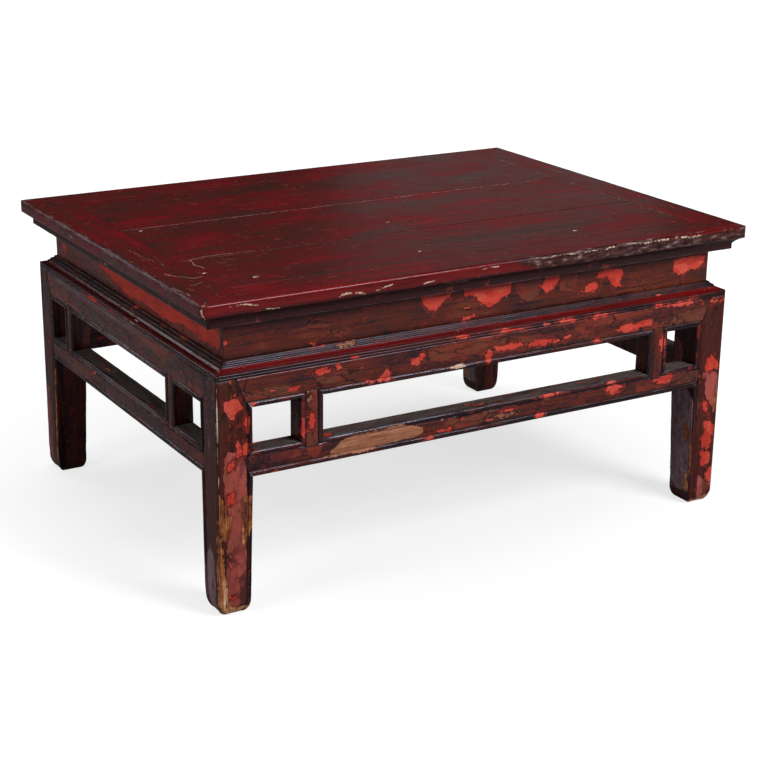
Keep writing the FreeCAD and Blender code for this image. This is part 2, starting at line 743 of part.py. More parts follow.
def fill_sheet(doc):
    sheet = doc.addObject("Spreadsheet::Sheet", "Sizes")
    for row, (name, size) in enumerate(SIZES.items(), start=1):
        sheet.set(f"A{row}", name)
        sheet.set(f"B{row}", str(size))
        sheet.setAlias(f"B{row}", name)
    doc.recompute()


def check(doc):
    """Stop if a feature failed, a solid is broken, or a cut or addition did nothing."""
    for item in doc.Objects:
        if "Invalid" in item.State or "Error" in item.State:
            raise RuntimeError("failed feature " + item.Label)
    for body in doc.findObjects("PartDesign::Body"):
        if body.Shape.isNull() or not body.Shape.isValid() or len(body.Shape.Solids) != 1:
            raise RuntimeError("bad solid in " + body.Label)
        before = None
        for feature in body.Group:
            if not feature.isDerivedFrom("PartDesign::Feature"):
                continue
            volume = feature.Shape.Volume
            if before is not None:
                shrinks = feature.TypeId == "PartDesign::Pocket"
                if volume == before or (volume < before) != shrinks:
                    raise RuntimeError(f"{body.Label}: {feature.Label} changed nothing")
            before = volume


def main():
    doc = FreeCAD.newDocument("KangTable")
    fill_sheet(doc)
    for name in SIDES:
        build_top_rail(doc, name)
    build_boards(doc)
    build_batten(doc, "batten_left", -1)
    build_batten(doc, "batten_right", 1)
    for name in SIDES:
        build_waist(doc, name)
        build_moulding(doc, name)
        build_apron(doc, name)
        build_rail(doc, name)
        build_struts(doc, name)
    build_leg(doc, "leg_front_left", 0, -1, -1)
    build_leg(doc, "leg_front_right", 90, 1, -1)
    build_leg(doc, "leg_back_right", 180, 1, 1)
    build_leg(doc, "leg_back_left", 270, -1, 1)
    doc.recompute()
    check(doc)
    os.makedirs("parts", exist_ok=True)
    for body in doc.findObjects("PartDesign::Body"):
        body.Shape.exportStep(f"parts/{body.Label}.step")
        print(body.Label, round(body.Shape.Volume))


main()
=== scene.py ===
import logging
import math
from collections.abc import Callable
from dataclasses import dataclass, field
from enum import Enum
from functools import partial

import bpy
import numpy as np
from mathutils import Matrix, Vector


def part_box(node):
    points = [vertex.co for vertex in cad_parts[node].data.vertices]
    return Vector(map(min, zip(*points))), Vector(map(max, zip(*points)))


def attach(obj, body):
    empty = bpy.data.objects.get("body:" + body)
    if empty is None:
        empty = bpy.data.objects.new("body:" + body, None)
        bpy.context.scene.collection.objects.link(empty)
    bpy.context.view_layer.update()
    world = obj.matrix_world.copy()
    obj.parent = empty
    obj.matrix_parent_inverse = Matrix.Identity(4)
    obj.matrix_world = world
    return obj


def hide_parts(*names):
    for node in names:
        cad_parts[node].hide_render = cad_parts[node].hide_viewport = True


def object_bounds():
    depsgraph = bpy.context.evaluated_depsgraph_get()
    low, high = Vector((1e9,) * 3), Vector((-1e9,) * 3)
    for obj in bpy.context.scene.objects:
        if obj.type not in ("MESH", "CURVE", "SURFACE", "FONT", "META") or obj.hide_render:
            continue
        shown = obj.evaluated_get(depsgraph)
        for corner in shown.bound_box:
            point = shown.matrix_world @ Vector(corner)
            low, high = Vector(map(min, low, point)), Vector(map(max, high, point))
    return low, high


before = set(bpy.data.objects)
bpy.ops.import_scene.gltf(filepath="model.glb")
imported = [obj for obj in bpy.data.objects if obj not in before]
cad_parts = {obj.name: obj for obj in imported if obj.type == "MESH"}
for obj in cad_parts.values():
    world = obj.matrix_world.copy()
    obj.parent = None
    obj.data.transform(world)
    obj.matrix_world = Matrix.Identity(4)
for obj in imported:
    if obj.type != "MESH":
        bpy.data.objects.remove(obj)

# A kang table in old lacquer: each CAD timber is copied, sawn into rows, eased and worn at
# its arrises, painted with where the lacquer has flaked, and given a layered lacquer finish.
# Lengths are millimetres until MM turns them into Blender's metres.

MM = 0.001
CAD_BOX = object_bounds()
TOP_HEIGHT = CAD_BOX[1][2] / MM
TOP_HALF = (400.0, 297.0)
BASE_HALF = (380.0, 288.0)
SIDES = ("front", "right", "back", "left")

# How far apart the knocks on an arris are, and the share of them at the seams
KNOCK_SPACING = 16.0
SEAM_KNOCK = 0.06

# The shadow around a flake
RIM_SHADOW = "#12080A"

# The plane of the front band that chips are drawn on, and how the distance from
# it counts
BAND_Y = -296.0
BAND_FLATTENING = (1.0, 0.15, 1.0)

# What may feed the input of a node
Feed = bpy.types.NodeSocket | bpy.types.Node | float

logging.basicConfig(level=logging.INFO, format="%(name)s: %(message)s")
log = logging.getLogger("kang_table")


class Grain(Enum):
    """The axis that a timber's grain, and the brush that lacquered it, ran along."""

    LENGTHWISE = 0
    CROSSWISE = 1
    UPRIGHT = 2


class Wear(Enum):
    """A kind of wear, painted shade or painted highlight, with the name of the mesh attribute that
    holds how strong it is.
    """

    FLAKED = "flaked"
    RUBBED = "rubbed"
    BARE = "bare"
    CHIPPED = "chipped"
    GREYED = "greyed"
    CLEAN = "clean"
    DUSTY = "dusty"
    # mauve dulling, partly a painted highlight along the end bands' arrises and a painted
    # reflection on the foot
    BLOOMED = "bloomed"
    BEADED = "beaded"
    # painted shade: darkens the fillet, the band's lower edge and the soffit under the top's
    # overhang
    SHADED = "shaded"
    ARRIS = "arris"
    RECESS = "recess"


# Small helpers

def linear(code: str) -> tuple[float, float, float, float]:
    """Turn an sRGB hex colour into the linear one that Blender's sockets take.

    Args:
        code: The colour, such as "#4E2424".

    Returns:
        Red, green, blue and an alpha of 1.
    """
    shares = [int(code[i:i + 2], 16) / 255 for i in (1, 3, 5)]
    red, green, blue = (s / 12.92 if s <= 0.04045 else ((s + 0.055) / 1.055) ** 2.4
                        for s in shares)
    return red, green, blue, 1.0


def add_node(tree: bpy.types.NodeTree, kind: str, inputs: dict | None = None,
             stops: tuple = (), **settings: object) -> bpy.types.Node:
    """Add one node with its settings and its links.

    Args:
        tree: The node tree that it goes into.
        kind: Blender's name for the kind of node, without ShaderNode in front.
        inputs: Input name or number to a value, to the output socket that feeds it, or to
            a node whose first output does.
        stops: For a ramp only, its (place, hex colour) pairs.
        settings: The node's own properties.

    Returns:
        The new node.
    """
    node = tree.nodes.new(f"ShaderNode{kind}")
    for name, value in settings.items():
        setattr(node, name, value)
    for name, value in (inputs or {}).items():
        if isinstance(value, bpy.types.Node):
            value = value.outputs[0]
        if isinstance(value, bpy.types.NodeSocket):
            tree.links.new(value, node.inputs[name])
        else:
            node.inputs[name].default_value = value
    for number, (place, code) in enumerate(stops):
        elements = node.color_ramp.elements
        stop = elements[number] if number < 2 else elements.new(place)
        stop.position = place
        stop.color = linear(code)
    return node


def empty_tree(owner: bpy.types.Material | bpy.types.World) -> bpy.types.NodeTree:
    """Give a material or a world a node tree with nothing in it.

    Args:
        owner: The material or the world.

    Returns:
        Its node tree.
    """
    owner.use_nodes = True
    owner.node_tree.nodes.clear()
    return owner.node_tree


def read(items: bpy.types.bpy_prop_collection, name: str, width: int = 1,
         kind: type = float) -> np.ndarray:
    """Read one property of every vertex, edge, loop or face of a mesh.

    Args:
        items: The mesh's vertices, edges, loops or faces.
        name: Blender's name for the property.
        width: How many numbers it holds.
        kind: Their type.

    Returns:
        A row for each item, or a number where the property holds one.
    """
    values = np.zeros(len(items) * width, kind)
    items.foreach_get(name, values)
    return values.reshape(-1, width) if width > 1 else values


def move(mesh: bpy.types.Mesh, points: np.ndarray) -> None:
    """Put the vertices of a mesh in new places.

    Args:
        mesh: The mesh to change.
        points: A row for each vertex, in metres.
    """
    mesh.vertices.foreach_set("co", points.ravel())
    mesh.update()


def activate(piece: bpy.types.Object) -> None:
    """Deselect everything, then select one piece and make it the active one.

    Args:
        piece: The piece to work on.
    """
    bpy.ops.object.select_all(action="DESELECT")
    piece.select_set(True)
    bpy.context.view_layer.objects.active = piece


def apply_modifier(piece: bpy.types.Object, kind: str, **settings: object) -> None:
    """Add a modifier to a piece, set it and apply it.

    Args:
        piece: The piece to change.
        kind: Blender's name for the modifier.
        settings: The modifier's properties.
    """
    activate(piece)
    bpy.ops.object.modifier_add(type=kind)
    modifier = piece.modifiers[-1]
    for name, value in settings.items():
        setattr(modifier, name, value)
    bpy.ops.object.modifier_apply(modifier=modifier.name)


def edge_turns(mesh: bpy.types.Mesh) -> tuple[np.ndarray, np.ndarray]:
    """Measure how sharply a mesh turns at each vertex.

    Args:
        mesh: The mesh to measure.

    Returns:
        The sharpest outward and the sharpest inward turn at each vertex, in radians.
    """
    edges = read(mesh.edges, "vertices", 2, np.int32)
    loop_edge = read(mesh.loops, "edge_index", kind=np.int32)
    counts = read(mesh.polygons, "loop_total", kind=np.int32)
    normals = read(mesh.polygons, "normal", 3)
    centres = read(mesh.polygons, "center", 3)
    loop_face = np.repeat(np.arange(len(mesh.polygons)), counts)
    order = np.argsort(loop_edge, kind="stable")
    sorted_edges, sorted_faces = loop_edge[order], loop_face[order]
    pair = np.flatnonzero(sorted_edges[1:] == sorted_edges[:-1])
    first, second, edge = sorted_faces[pair], sorted_faces[pair + 1], sorted_edges[pair]
    turn = np.arccos(np.clip((normals[first] * normals[second]).sum(1), -1, 1))
    outward = (normals[first] * (centres[second] - centres[first])).sum(1) < 0
    arris, recess = np.zeros(len(mesh.vertices)), np.zeros(len(mesh.vertices))
    for end in (0, 1):
        np.maximum.at(arris, edges[edge, end], np.where(outward, turn, 0))
        np.maximum.at(recess, edges[edge, end], np.where(outward, 0, turn))
    return arris, recess


# Where the lacquer is worn

@dataclass(frozen=True)
class WearMap:
    """Patches of wear on the four sides, the top and the inner faces of the legs.

    A patch is an oval, given as its place along the face, its height and its reach both
    ways, or an outline, given as its corners. On the top the height is the place from front
    to back. The back carries the front's wear and the right side the left's, because those
    sides are not seen.

    Attributes:
        edge_mm: How far from its outline a patch has its full strength.
        chip_edge_mm: The same for a chip.
        bead_mm: How wide a bead's dark strip is.
        front_beyond: How far from the middle the front and back faces begin.
        side_beyond: The same for the faces of the two ends.
        top_above: The height above which the top lies.
        dusty_below: The height below which upward faces hold dust.
        fillet_from: The height from which the set-back fillet and the band lie.
        shade_until: The height up to which painted shade darkens the fillet and the band's lower
            edge under the top's overhang.
        leg_face: How far from the middle the legs' inner faces lie.
        leg_until: The height up to which they are seen.
        cove: The heights and the depths that the moulding's bright cove lies between.
        dull_side: How dull an end's apron is, and the heights that it lies between.
        flat_top: The height, the length and the depth beyond which the top's arris lies.
        front: The patches of the front, by kind of wear.
        side: Those of the left side.
        top: Those of the top.
        inner: Those of the legs' inner faces, seen from the left end.
    """

    edge_mm: float = 5.0
    chip_edge_mm: float = 2.5
    bead_mm: float = 8.2
    front_beyond: float = 262.0
    side_beyond: float = 354.0
    top_above: float = 390.0
    dusty_below: float = 300.0
    fillet_from: float = 361.0
    shade_until: float = 379.0
    leg_face: float = 333.0
    leg_until: float = 258.0
    cove: tuple = ((305.4, 310.1), (1.5, 11.6))
    dull_side: tuple = (0.28, 208.0, 299.0)
    flat_top: tuple = (393.2, 385.0, 282.0)
    front: dict[Wear, tuple] = field(default_factory=lambda: {
        Wear.FLAKED: (
            ((-95, 366), (-52, 366), (-52, 351), (-61, 346), (-66, 342), (-72, 333),
             (-79, 336), (-86, 342), (-93, 352)),
            ((-36, 366), (38, 366), (41, 341), (29, 339), (21, 336), (16, 330), (9, 328),
             (2, 331), (-4, 336), (-13, 344), (-20, 345), (-21, 349), (-29, 347)),
            ((87, 345), (98, 366), (116, 360), (114, 346), (103, 343), (100, 333),
             (92, 338)),
            ((148, 334), (151, 328), (165, 327), (179, 330), (179, 336), (171, 339)),
            ((169, 349), (187, 355), (208, 352), (218, 344), (213, 339), (214, 327),
             (206, 327), (199, 333), (193, 337), (190, 345), (179, 344)),
            ((302, 355), (354, 355), (354, 344), (340, 335), (329, 338), (317, 329),
             (303, 336)),
            ((350, 204), (363, 218), (374, 205), (374, 192), (361, 195), (352, 194)),
            ((352, 156), (362, 144), (359, 132), (351, 135)),
            ((357, 121), (365, 122), (377, 108), (373, 99), (359, 105)),
            ((353, 99), (366, 100), (373, 92), (368, 81), (354, 83)),
            ((354, 76), (370, 75), (373, 64), (366, 54), (356, 59)),
            ((360, 36), (374, 53), (383, 43), (379, 27)),
            ((-369, 276), (-348, 272), (-347, 262), (-352, 258), (-355, 248), (-365, 251),
             (-369, 261)),
            ((-353, 222), (-347, 215), (-348, 204), (-355, 203), (-356, 212)),
            ((-345, 218), (-339, 218), (-338, 206), (-339, 199), (-344, 205)),
            (-362, 192, 5, 5), (-363, 152, 5, 8), (-340, 237, 2.5, 12),
            ((-162, 273), (-147, 278), (-143, 272), (-151, 263), (-159, 266)),
            ((-117, 285), (-99, 292), (-98, 287), (-107, 277), (-116, 278)),
            (-242, 319, 5, 3), (-27, 320, 10, 3), (-45, 303, 12, 3), (120, 300, 14, 3),
            (163, 299, 16, 3), (264, 299, 9, 3), (303, 297, 22, 3), (358, 293, 12, 3),
            (26, 300, 16, 3), (-241, 290, 12, 4), (-220, 291, 5, 4), (-164, 266, 11, 3),
            (26, 279, 25, 4), (76, 277, 27, 4), (-3, 270, 5, 10), (119, 278, 7, 4),
            (164, 267, 7, 4), (215, 276, 18, 5), (241, 278, 13, 6), (-90, 178, 6, 3),
            (-67, 184, 9, 3), (95, 204, 14, 3), (197, 194, 12, 7), (280, 194, 15, 6),
            (78, 179, 6, 3), (27, 193, 9, 3), (-255, 228, 5, 11), (-267, 223, 3, 15),
            (275, 246, 5, 12), (-340, 243, 4, 7), (-361, 24, 5, 4), (382, 118, 4, 9),
            (-360, 336, 4, 4)),
        Wear.RUBBED: (
            ((35, 366), (86, 366), (84, 338), (78, 331), (70, 326), (65, 329), (54, 335)),
            ((114, 366), (146, 362), (142, 341), (141, 330), (115, 334)),
            ((-250, 294), (-218, 291), (-205, 282), (-213, 273), (-245, 276)),
            ((-94, 297), (-33, 296), (-18, 279), (-36, 271), (-91, 277)),
            ((351, 194), (374, 191), (380, 133), (357, 152)),
            ((352, 42), (379, 26), (377, 0), (354, 0)),
            ((-371, 210), (-350, 210), (-342, 188), (-341, 150), (-345, 110), (-343, 60),
             (-341, 20), (-341, -6), (-376, -6), (-374, 36), (-370, 74), (-369, 112),
             (-370, 136), (-372, 160)), (190, 292, 70, 6),
            (-225, 282, 24, 9), (-311, 273, 39, 8), (153, 203, 16, 4), (322, 191, 28, 8),
            (-301, 193, 36, 7), (-38, 190, 37, 8), (-251, 256, 10, 14), (-251, 210, 12, 30),
            (20, 282, 60, 10), (110, 280, 50, 8)),
        Wear.BARE: (
            ((-240, 180), (-214, 197), (-201, 202), (-126, 203), (-97, 194), (-103, 184),
             (-150, 181), (-189, 178)),
            (-201, 313, 15, 3), (24, 188, 22, 3),
            ((-350, 152), (-336, 151), (-336, 119), (-342, 94), (-350, 90)),
            ((-380, 162), (-369, 142), (-361, 125), (-368, 94), (-377, 103), (-382, 129)),
            ((-386, 108), (-377, 103), (-371, 49), (-372, 0), (-386, 0)),
            ((-386, 16), (-366, 13), (-352, 8), (-338, 10), (-330, 9), (-330, -6),
             (-386, -6)),
            ((330, 10), (342, 6), (355, 6), (370, 9), (384, 7), (384, -6), (330, -6)),
            (372, 149, 4, 15), (-258, 262, 3, 8), (333, 30, 3, 14), (333, 100, 2.5, 8)),
        Wear.CHIPPED: ((-49, 265, 10, 2),
                       (-380, 300, 1.6, 10), (-380, 262, 1.6, 14), (-380, 222, 2.2, 32),
                       (-380, 178, 1.8, 12)),
        Wear.GREYED: (((20, 396), (400, 396), (400, 377), (70, 377), (40, 386)),
                      (-90, 391, 60, 3)),
        Wear.CLEAN: (((-402, 397), (-20, 397), (30, 388), (40, 382), (-402, 382)),
                     (320, 393, 60, 2)),
    })
    side: dict[Wear, tuple] = field(default_factory=lambda: {
        Wear.FLAKED: (
            ((124, 352), (66, 348), (20, 355), (-98, 358), (-140, 366), (-258, 366),
             (-258, 326), (-211, 325), (-156, 329), (-100, 322), (-41, 326), (8, 322),
             (59, 329), (76, 333), (104, 338)),
            (236, 334, 8, 7), (84, 301, 20, 3), (29, 301, 13, 2), (246, 286, 14, 3)),
        Wear.RUBBED: (
            ((150, 338), (60, 352), (-60, 366), (-200, 366), (-200, 318), (-40, 316),
             (120, 328)),
            (-155, 231, 10, 34), (-196, 272, 65, 8), (276, 67, 10, 60)),
        Wear.BARE: ((246, 79, 5, 84), (-286, 60, 4, 60),
                    ((-292, 6), (-262, 3), (-236, 5), (-236, -4), (-292, -4)),
                    ((236, 4), (262, 6), (292, 3), (292, -4), (236, -4))),
        Wear.CHIPPED: ((-283, 308, 8, 1.5), (-295, 386, 2, 5), (-287, 240, 1.6, 40),
                       (20, 366, 20, 1.5), (40, 272, 5, 2), (20, 270, 4, 1.6),
                       (-1, 271, 5, 1.6), (-24, 273, 3, 1.6), (-43, 305, 6, 1.6)),
        Wear.GREYED: ((120, 386, 60, 3),),
        # mauve dulling: the strip at the band's arris is a painted highlight, the strips along the
        # apron's and rail's edges are partly painted highlight, and the patch on the foot is a
        # painted reflection
        Wear.BLOOMED: ((-20, 393, 290, 2.5), (-30, 264, 140, 4), (60, 297, 200, 4),
                       (-20, 202, 150, 4), (-263, 40, 14, 44)),
    })
    top: dict[Wear, tuple] = field(default_factory=lambda: {
        Wear.CHIPPED: ((-291, -213, 3, 2.4), (-57, -204, 3, 2), (-15, -56, 3, 1.6),
                       (179, -210, 4, 2), (-337, -170, 3, 2.4), (-323, 54, 3, 1.8),
                       (-321, 14, 2, 1.6), (-397, -294, 2, 2)),
        Wear.GREYED: ((396, 0, 4, 280), (-397, 0, 3, 280), (0, 294, 380, 3),
                      (210, -294, 190, 3)),
    })
    inner: dict[Wear, tuple] = field(default_factory=lambda: {
        Wear.BLOOMED: (((-292, -6), (-292, 150), (-262, 186), (-234, 176), (-234, -6)),),
        Wear.BARE: ((-276, 104, 5, 12), (-279, 26, 6, 15), (-258, 2, 20, 4),
                    (-286, 60, 2, 40)),
        Wear.RUBBED: ((-250, 214, 12, 20),),
        Wear.CHIPPED: ((-242, 120, 2, 3), (-243, 22, 2, 4), (-276, 30, 3, 3)),
    })

    @staticmethod
    def oval_depth(across: np.ndarray, up: np.ndarray, oval: tuple) -> np.ndarray:
        """Measure how deep each point lies inside an oval.

        Args:
            across: Each point's place along the face.
            up: Each point's height on the face.
            oval: The oval's place, its height and its reach both ways.

        Returns:
            The depth, below zero outside.
        """
        place, height, reach, rise = oval
        return (1 - np.hypot((across - place) / reach, (up - height) / rise)) * min(reach, rise)

    @staticmethod
    def outline_depth(across: np.ndarray, up: np.ndarray, corners: tuple) -> np.ndarray:
        """Measure how deep each point lies inside an outline.

        Args:
            across: Each point's place along the face.
            up: Each point's height on the face.
            corners: The outline's corners, in order.

        Returns:
            The depth, below zero outside.
        """
        inside = np.zeros(len(across), bool)
        nearest = np.full(len(across), np.inf)
        for (x_a, z_a), (x_b, z_b) in zip(corners, corners[1:] + corners[:1]):
            run, rise = x_b - x_a, z_b - z_a
            if rise:
                inside ^= ((z_a > up) != (z_b > up)) & (across < x_a + (up - z_a) * run / rise)
            share = ((across - x_a) * run + (up - z_a) * rise) / (run ** 2 + rise ** 2)
            share = np.clip(share, 0, 1)
            gap = np.hypot(across - x_a - share * run, up - z_a - share * rise)
            nearest = np.minimum(nearest, gap)
        return np.where(inside, nearest, -nearest)

    def strength(self, across: np.ndarray, up: np.ndarray, patches: tuple,
                 edge: float) -> np.ndarray:
        """Tell how far each point lies inside the nearest patch.

        Args:
            across: Each point's place along the face.
            up: Each point's height on the face.
            patches: The patches, as the class describes them.
            edge: How far from the outline the strength stops changing, in millimetres.

        Returns:
            A half on a patch's outline, one well inside it and zero well outside.
        """
        deepest = np.full(len(across), -np.inf)
        for patch in patches:
            measure = self.outline_depth if isinstance(patch[0], tuple) else self.oval_depth
            deepest = np.maximum(deepest, measure(across, up, patch))
        return np.clip(0.5 + deepest / (2 * edge), 0, 1)

    def paint(self, mesh: bpy.types.Mesh, beads: tuple) -> None:
        """Write each kind of wear, and the painted shade under the top, to the mesh as an attribute
        of its own.

        Args:
            mesh: The finished mesh of a piece.
            beads: The number of the axis and the place of each plane that a bead lies on.
        """
        points = read(mesh.vertices, "co", 3) / MM
        x, y, z = points.T
        facing = read(mesh.vertices, "normal", 3)
        upward = np.clip(facing[:, 2] * 2 - 1, 0, 1) * (z < self.dusty_below)
        face_x, face_y, face_z = abs(facing).T
        on_front = (face_y > 0.3) & (face_y >= face_x) & (abs(y) > self.front_beyond)
        on_side = (face_x > 0.3) & (face_x > face_y) & (abs(x) > self.side_beyond)
        on_top = (face_z > 0.6) & (z > self.top_above)
        depth = np.minimum(BASE_HALF[1] - abs(y), BASE_HALF[0] - abs(x))
        inner_leg = (face_x > 0.7) & (abs(abs(x) - self.leg_face) < 5) & (z < self.leg_until)
        (cove_low, cove_high), (cove_out, cove_in) = self.cove
        cove = (z > cove_low) & (z < cove_high) & (depth > cove_out) & (depth < cove_in)
        dull, dull_low, dull_high = self.dull_side
        for wear in (Wear.FLAKED, Wear.RUBBED, Wear.BARE, Wear.CHIPPED, Wear.GREYED,
                     Wear.CLEAN, Wear.BLOOMED):
            edge = self.chip_edge_mm if wear is Wear.CHIPPED else self.edge_mm
            strength = np.zeros(len(points))
            for faces, across, up, patches in ((on_front, x, z, self.front),
                                               (on_side, y, z, self.side),
                                               (inner_leg, -abs(y), z, self.inner),
                                               (on_top, x, y, self.top)):
                level = faces * self.strength(across, up, patches.get(wear, ()), edge)
                strength = np.maximum(strength, level)
            if wear in (Wear.FLAKED, Wear.RUBBED):
                strength = strength * (z < self.fillet_from)
            if wear is Wear.CLEAN:
                strength = np.maximum(strength, cove)
            if wear is Wear.BLOOMED:
                strength = np.maximum(strength,
                                      dull * on_side * (z > dull_low) * (z < dull_high))
            self.store(mesh, wear, strength)
        beaded = np.zeros(len(points))
        for axis, plane in beads:
            inside = self.bead_mm - abs(points[:, axis] - plane)
            beaded = np.maximum(beaded, np.clip(0.5 + inside / 10, 0, 1) * (depth < 9))
        arris, recess = edge_turns(mesh)
        height, half_length, half_depth = self.flat_top
        inner_top = (z > height) & (abs(x) < half_length) & (abs(y) < half_depth)
        self.store(mesh, Wear.ARRIS, np.clip((arris - 0.45) / 0.5, 0, 1) * ~inner_top)
        self.store(mesh, Wear.RECESS, np.clip((recess - 0.3) / 0.6, 0, 1))
        self.store(mesh, Wear.DUSTY, upward)
        self.store(mesh, Wear.BEADED, beaded)
        # painted shade: full from the fillet up to the band's lower edge, under the top's overhang
        shaded = np.clip(0.5 + (self.shade_until - z) / 8, 0, 1)
        self.store(mesh, Wear.SHADED, (z > self.fillet_from - 0.1) * shaded)

    @staticmethod
    def store(mesh: bpy.types.Mesh, wear: Wear, strength: np.ndarray) -> None:
        """Keep one kind of wear on the mesh.

        Args:
            mesh: The mesh that carries it.
            wear: The kind of wear.
            strength: Its strength at each vertex.
        """
        layer = mesh.attributes.new(wear.value, "FLOAT", "POINT")
        layer.data.foreach_set("value", strength.astype(np.float32))


WEAR_MAP = WearMap()


# Finishes

class Surface:
    """A lacquered surface while its layers are laid one by one.

    It holds the colour, the roughness and the height so far, and the patterns that the
    layers share: the place on the piece, long brush strokes (streak), a broad noise (drift)
    and the same around zero (broad), the ragged outline of flakes (torn), the direction
    around zero that it pushes things about (sway), the same outline with teeth (ragged) or
    with fibres (brushed), a noise along the grain (fibre), a fine one (grit) and a mix of
    both (speckle).
    """

    def __init__(self, add: Callable[..., bpy.types.Node], finish: "Lacquer") -> None:
        """Make the patterns and start from the undamaged coat.

        Args:
            add: The function that adds a node to the material's tree.
            finish: The finish that the surface has.
        """
        self.add = add
        self.grain = finish.grain
        self.place = add("TexCoord").outputs["Object"]
        self.streak = self.noise(finish.run_mm, finish.streak_mm, 5.0)
        self.drift = self.noise(finish.drift_mm, finish.drift_mm * 0.6, 3.0)
        self.torn = self.noise(finish.torn_mm, finish.torn_mm, 7.0)
        self.fibre = self.noise(*finish.fibre_mm)
        self.grit = self.noise(finish.grit_mm, finish.grit_mm, 3.0)
        self.sway = add("VectorMath", {0: self.torn.outputs["Color"], 1: (0.5,) * 3},
                        operation="SUBTRACT")
        teeth = self.cells(finish.tooth_mm, 1.5)
        self.ragged = add("Mix", {0: 0.16, 2: self.torn, 3: teeth[0]})
        self.brushed = add("Mix", {0: 0.6, 2: self.ragged, 3: self.fibre})
        self.speckle = add("Mix", {0: 0.45, 2: self.fibre, 3: self.grit})
        centred = add("Math", {0: self.drift, 1: 0.5}, operation="SUBTRACT")
        self.broad = add("Math", {0: centred, 1: 0.9}, operation="MULTIPLY")
        shade = add("Mix", {0: finish.drifting, 2: self.streak, 3: self.drift})
        self.colour = add("ValToRGB", {"Fac": shade}, finish.coats)
        smooth = add("Mix", {0: 0.35, 2: self.drift, 3: self.fibre})
        self.roughness = add("MapRange", {
            "Value": smooth, "From Min": 0.35, "From Max": 0.65,
            "To Min": finish.roughness - finish.dulling,
            "To Max": finish.roughness + 2 * finish.dulling})
        swell = self.noise(3 * finish.swell_mm, finish.swell_mm, 1.0)
        waves = add("Math", {0: swell, 1: finish.waviness}, operation="MULTIPLY")
        self.height = add("Math", {0: self.streak, 1: 0.3, 2: waves},
                          operation="MULTIPLY_ADD")

    def stretch(self, run: float, across: float) -> tuple[float, ...]:
        """Scale a pattern so that it runs along the grain.

        Args:
            run: The pattern's length along the grain.
            across: Its width across the grain.

        Returns:
            The scale on each axis, for coordinates in metres.
        """
        return tuple(1 / (MM * (run if axis == self.grain.value else across))
                     for axis in range(3))

    def noise(self, run: float, across: float, detail: float = 4.0) -> Feed:
        """Make a noise that may run along the grain.

        Args:
            run: The noise's grain size along the grain, in millimetres.
            across: The same across the grain.
            detail: How many finer noises it holds.

        Returns:
            The noise.
        """
        laid = self.add("Mapping", {"Vector": self.place, "Scale": self.stretch(run, across)})
        return self.add("TexNoise", {"Vector": laid, "Scale": 1.0, "Detail": detail,
                                     "Roughness": 0.62})

    def cells(self, size: float, run: float) -> tuple[Feed, ...]:
        """Break the surface into ragged cells and give each three numbers of its own.

        Args:
            size: The cells' width across the grain, in millimetres.
            run: How many times longer they are along it.

        Returns:
            Three numbers from zero to one, the same all over a cell.
        """
        moved = self.add("VectorMath", {0: self.sway, 1: (1.5 * size * MM,) * 3,
                                        2: self.place}, operation="MULTIPLY_ADD")
        laid = self.add("Mapping", {"Vector": moved, "Scale": self.stretch(run * size, size)})
        pattern = self.add("TexVoronoi", {"Vector": laid, "Scale": 1.0})
        return tuple(self.add("SeparateColor", {0: pattern.outputs["Color"]}).outputs)

    def roughen(self, guide: Wear | Feed, noise: Feed, spread: float) -> Feed:
        """Make a patch's outline ragged.

        Args:
            guide: A kind of wear, or how deep inside a patch each point is, a half on its
                outline.
            noise: The noise that roughens it.
            spread: How far the noise reaches.

        Returns:
            The roughened guide.
        """
        if isinstance(guide, Wear):
            guide = self.add("Attribute", attribute_name=guide.value).outputs["Fac"]
        centred = self.add("Math", {0: noise, 1: 0.5}, operation="SUBTRACT")
        return self.add("Math", {0: centred, 1: spread, 2: guide}, operation="MULTIPLY_ADD")

    def pick(self, chance: Feed, share: Feed, gain: float) -> Feed:
        """Pick a share of the cells of a pattern.

        Args:
            chance: Each cell's own number, evenly spread from zero to one.
            share: The share to pick.
            gain: How sharply the pick is made.

        Returns:
            A number that passes a half in the cells that are picked.
        """
        over = self.add("Math", {0: self.add("Math", {0: chance, 1: share}), 1: 1.0},
                        operation="SUBTRACT")
        return self.add("Math", {0: over, 1: gain, 2: 0.5}, operation="MULTIPLY_ADD")

    def lay(self, level: Wear | Feed, colour: str | tuple, roughness: float,
            tone: Feed = 0.5, noise: Feed = 0.5, spread: float = 0.0, edge: float = 0.03,
            rim: float = 0.0, amount: float = 1.0, depth: float = 0.0) -> None:
        """Lay another layer wherever its level passes a half.

        Args:
            level: How strongly the layer shows, or the kind of wear that bares it.
            colour: The layer's hex colour, or the stops of a ramp of them.
            roughness: The layer's roughness.
            tone: Where on the ramp each point's colour lies.
            noise: The noise that roughens the layer's outline.
            spread: How far that noise reaches.
            edge: Half the width of the soft edge.
            rim: How dark the shadow around the outline is.
            amount: How much of what lies below it covers.
            depth: How far the layer lies below the coat, in units of the bump.
        """
        if spread:
            level = self.roughen(level, noise, spread)
        flat = isinstance(colour, str)
        fresh = linear(colour) if flat else self.add("ValToRGB", {"Fac": tone}, colour)
        if rim:
            shadow = self.add("MapRange", {"Value": level, "From Min": 0.36,
                                           "From Max": 0.48, "To Max": rim},
                              interpolation_type="SMOOTHSTEP")
            self.colour = self.add("Mix", {0: shadow, 6: self.colour, 7: linear(RIM_SHADOW)},
                                   data_type="RGBA").outputs[2]
        shows = self.add("MapRange", {"Value": level, "From Min": 0.5 - edge,
                                      "From Max": 0.5 + edge, "To Max": amount},
                         interpolation_type="SMOOTHSTEP")
        self.colour = self.add("Mix", {0: shows, 6: self.colour, 7: fresh},
                               data_type="RGBA").outputs[2]
        self.roughness = self.add("Mix", {0: shows, 2: self.roughness, 3: roughness})
        if depth:
            sunk = self.add("Math", {0: shows, 1: depth}, operation="MULTIPLY")
            self.height = self.add("Math", {0: self.height, 1: sunk}, operation="SUBTRACT")


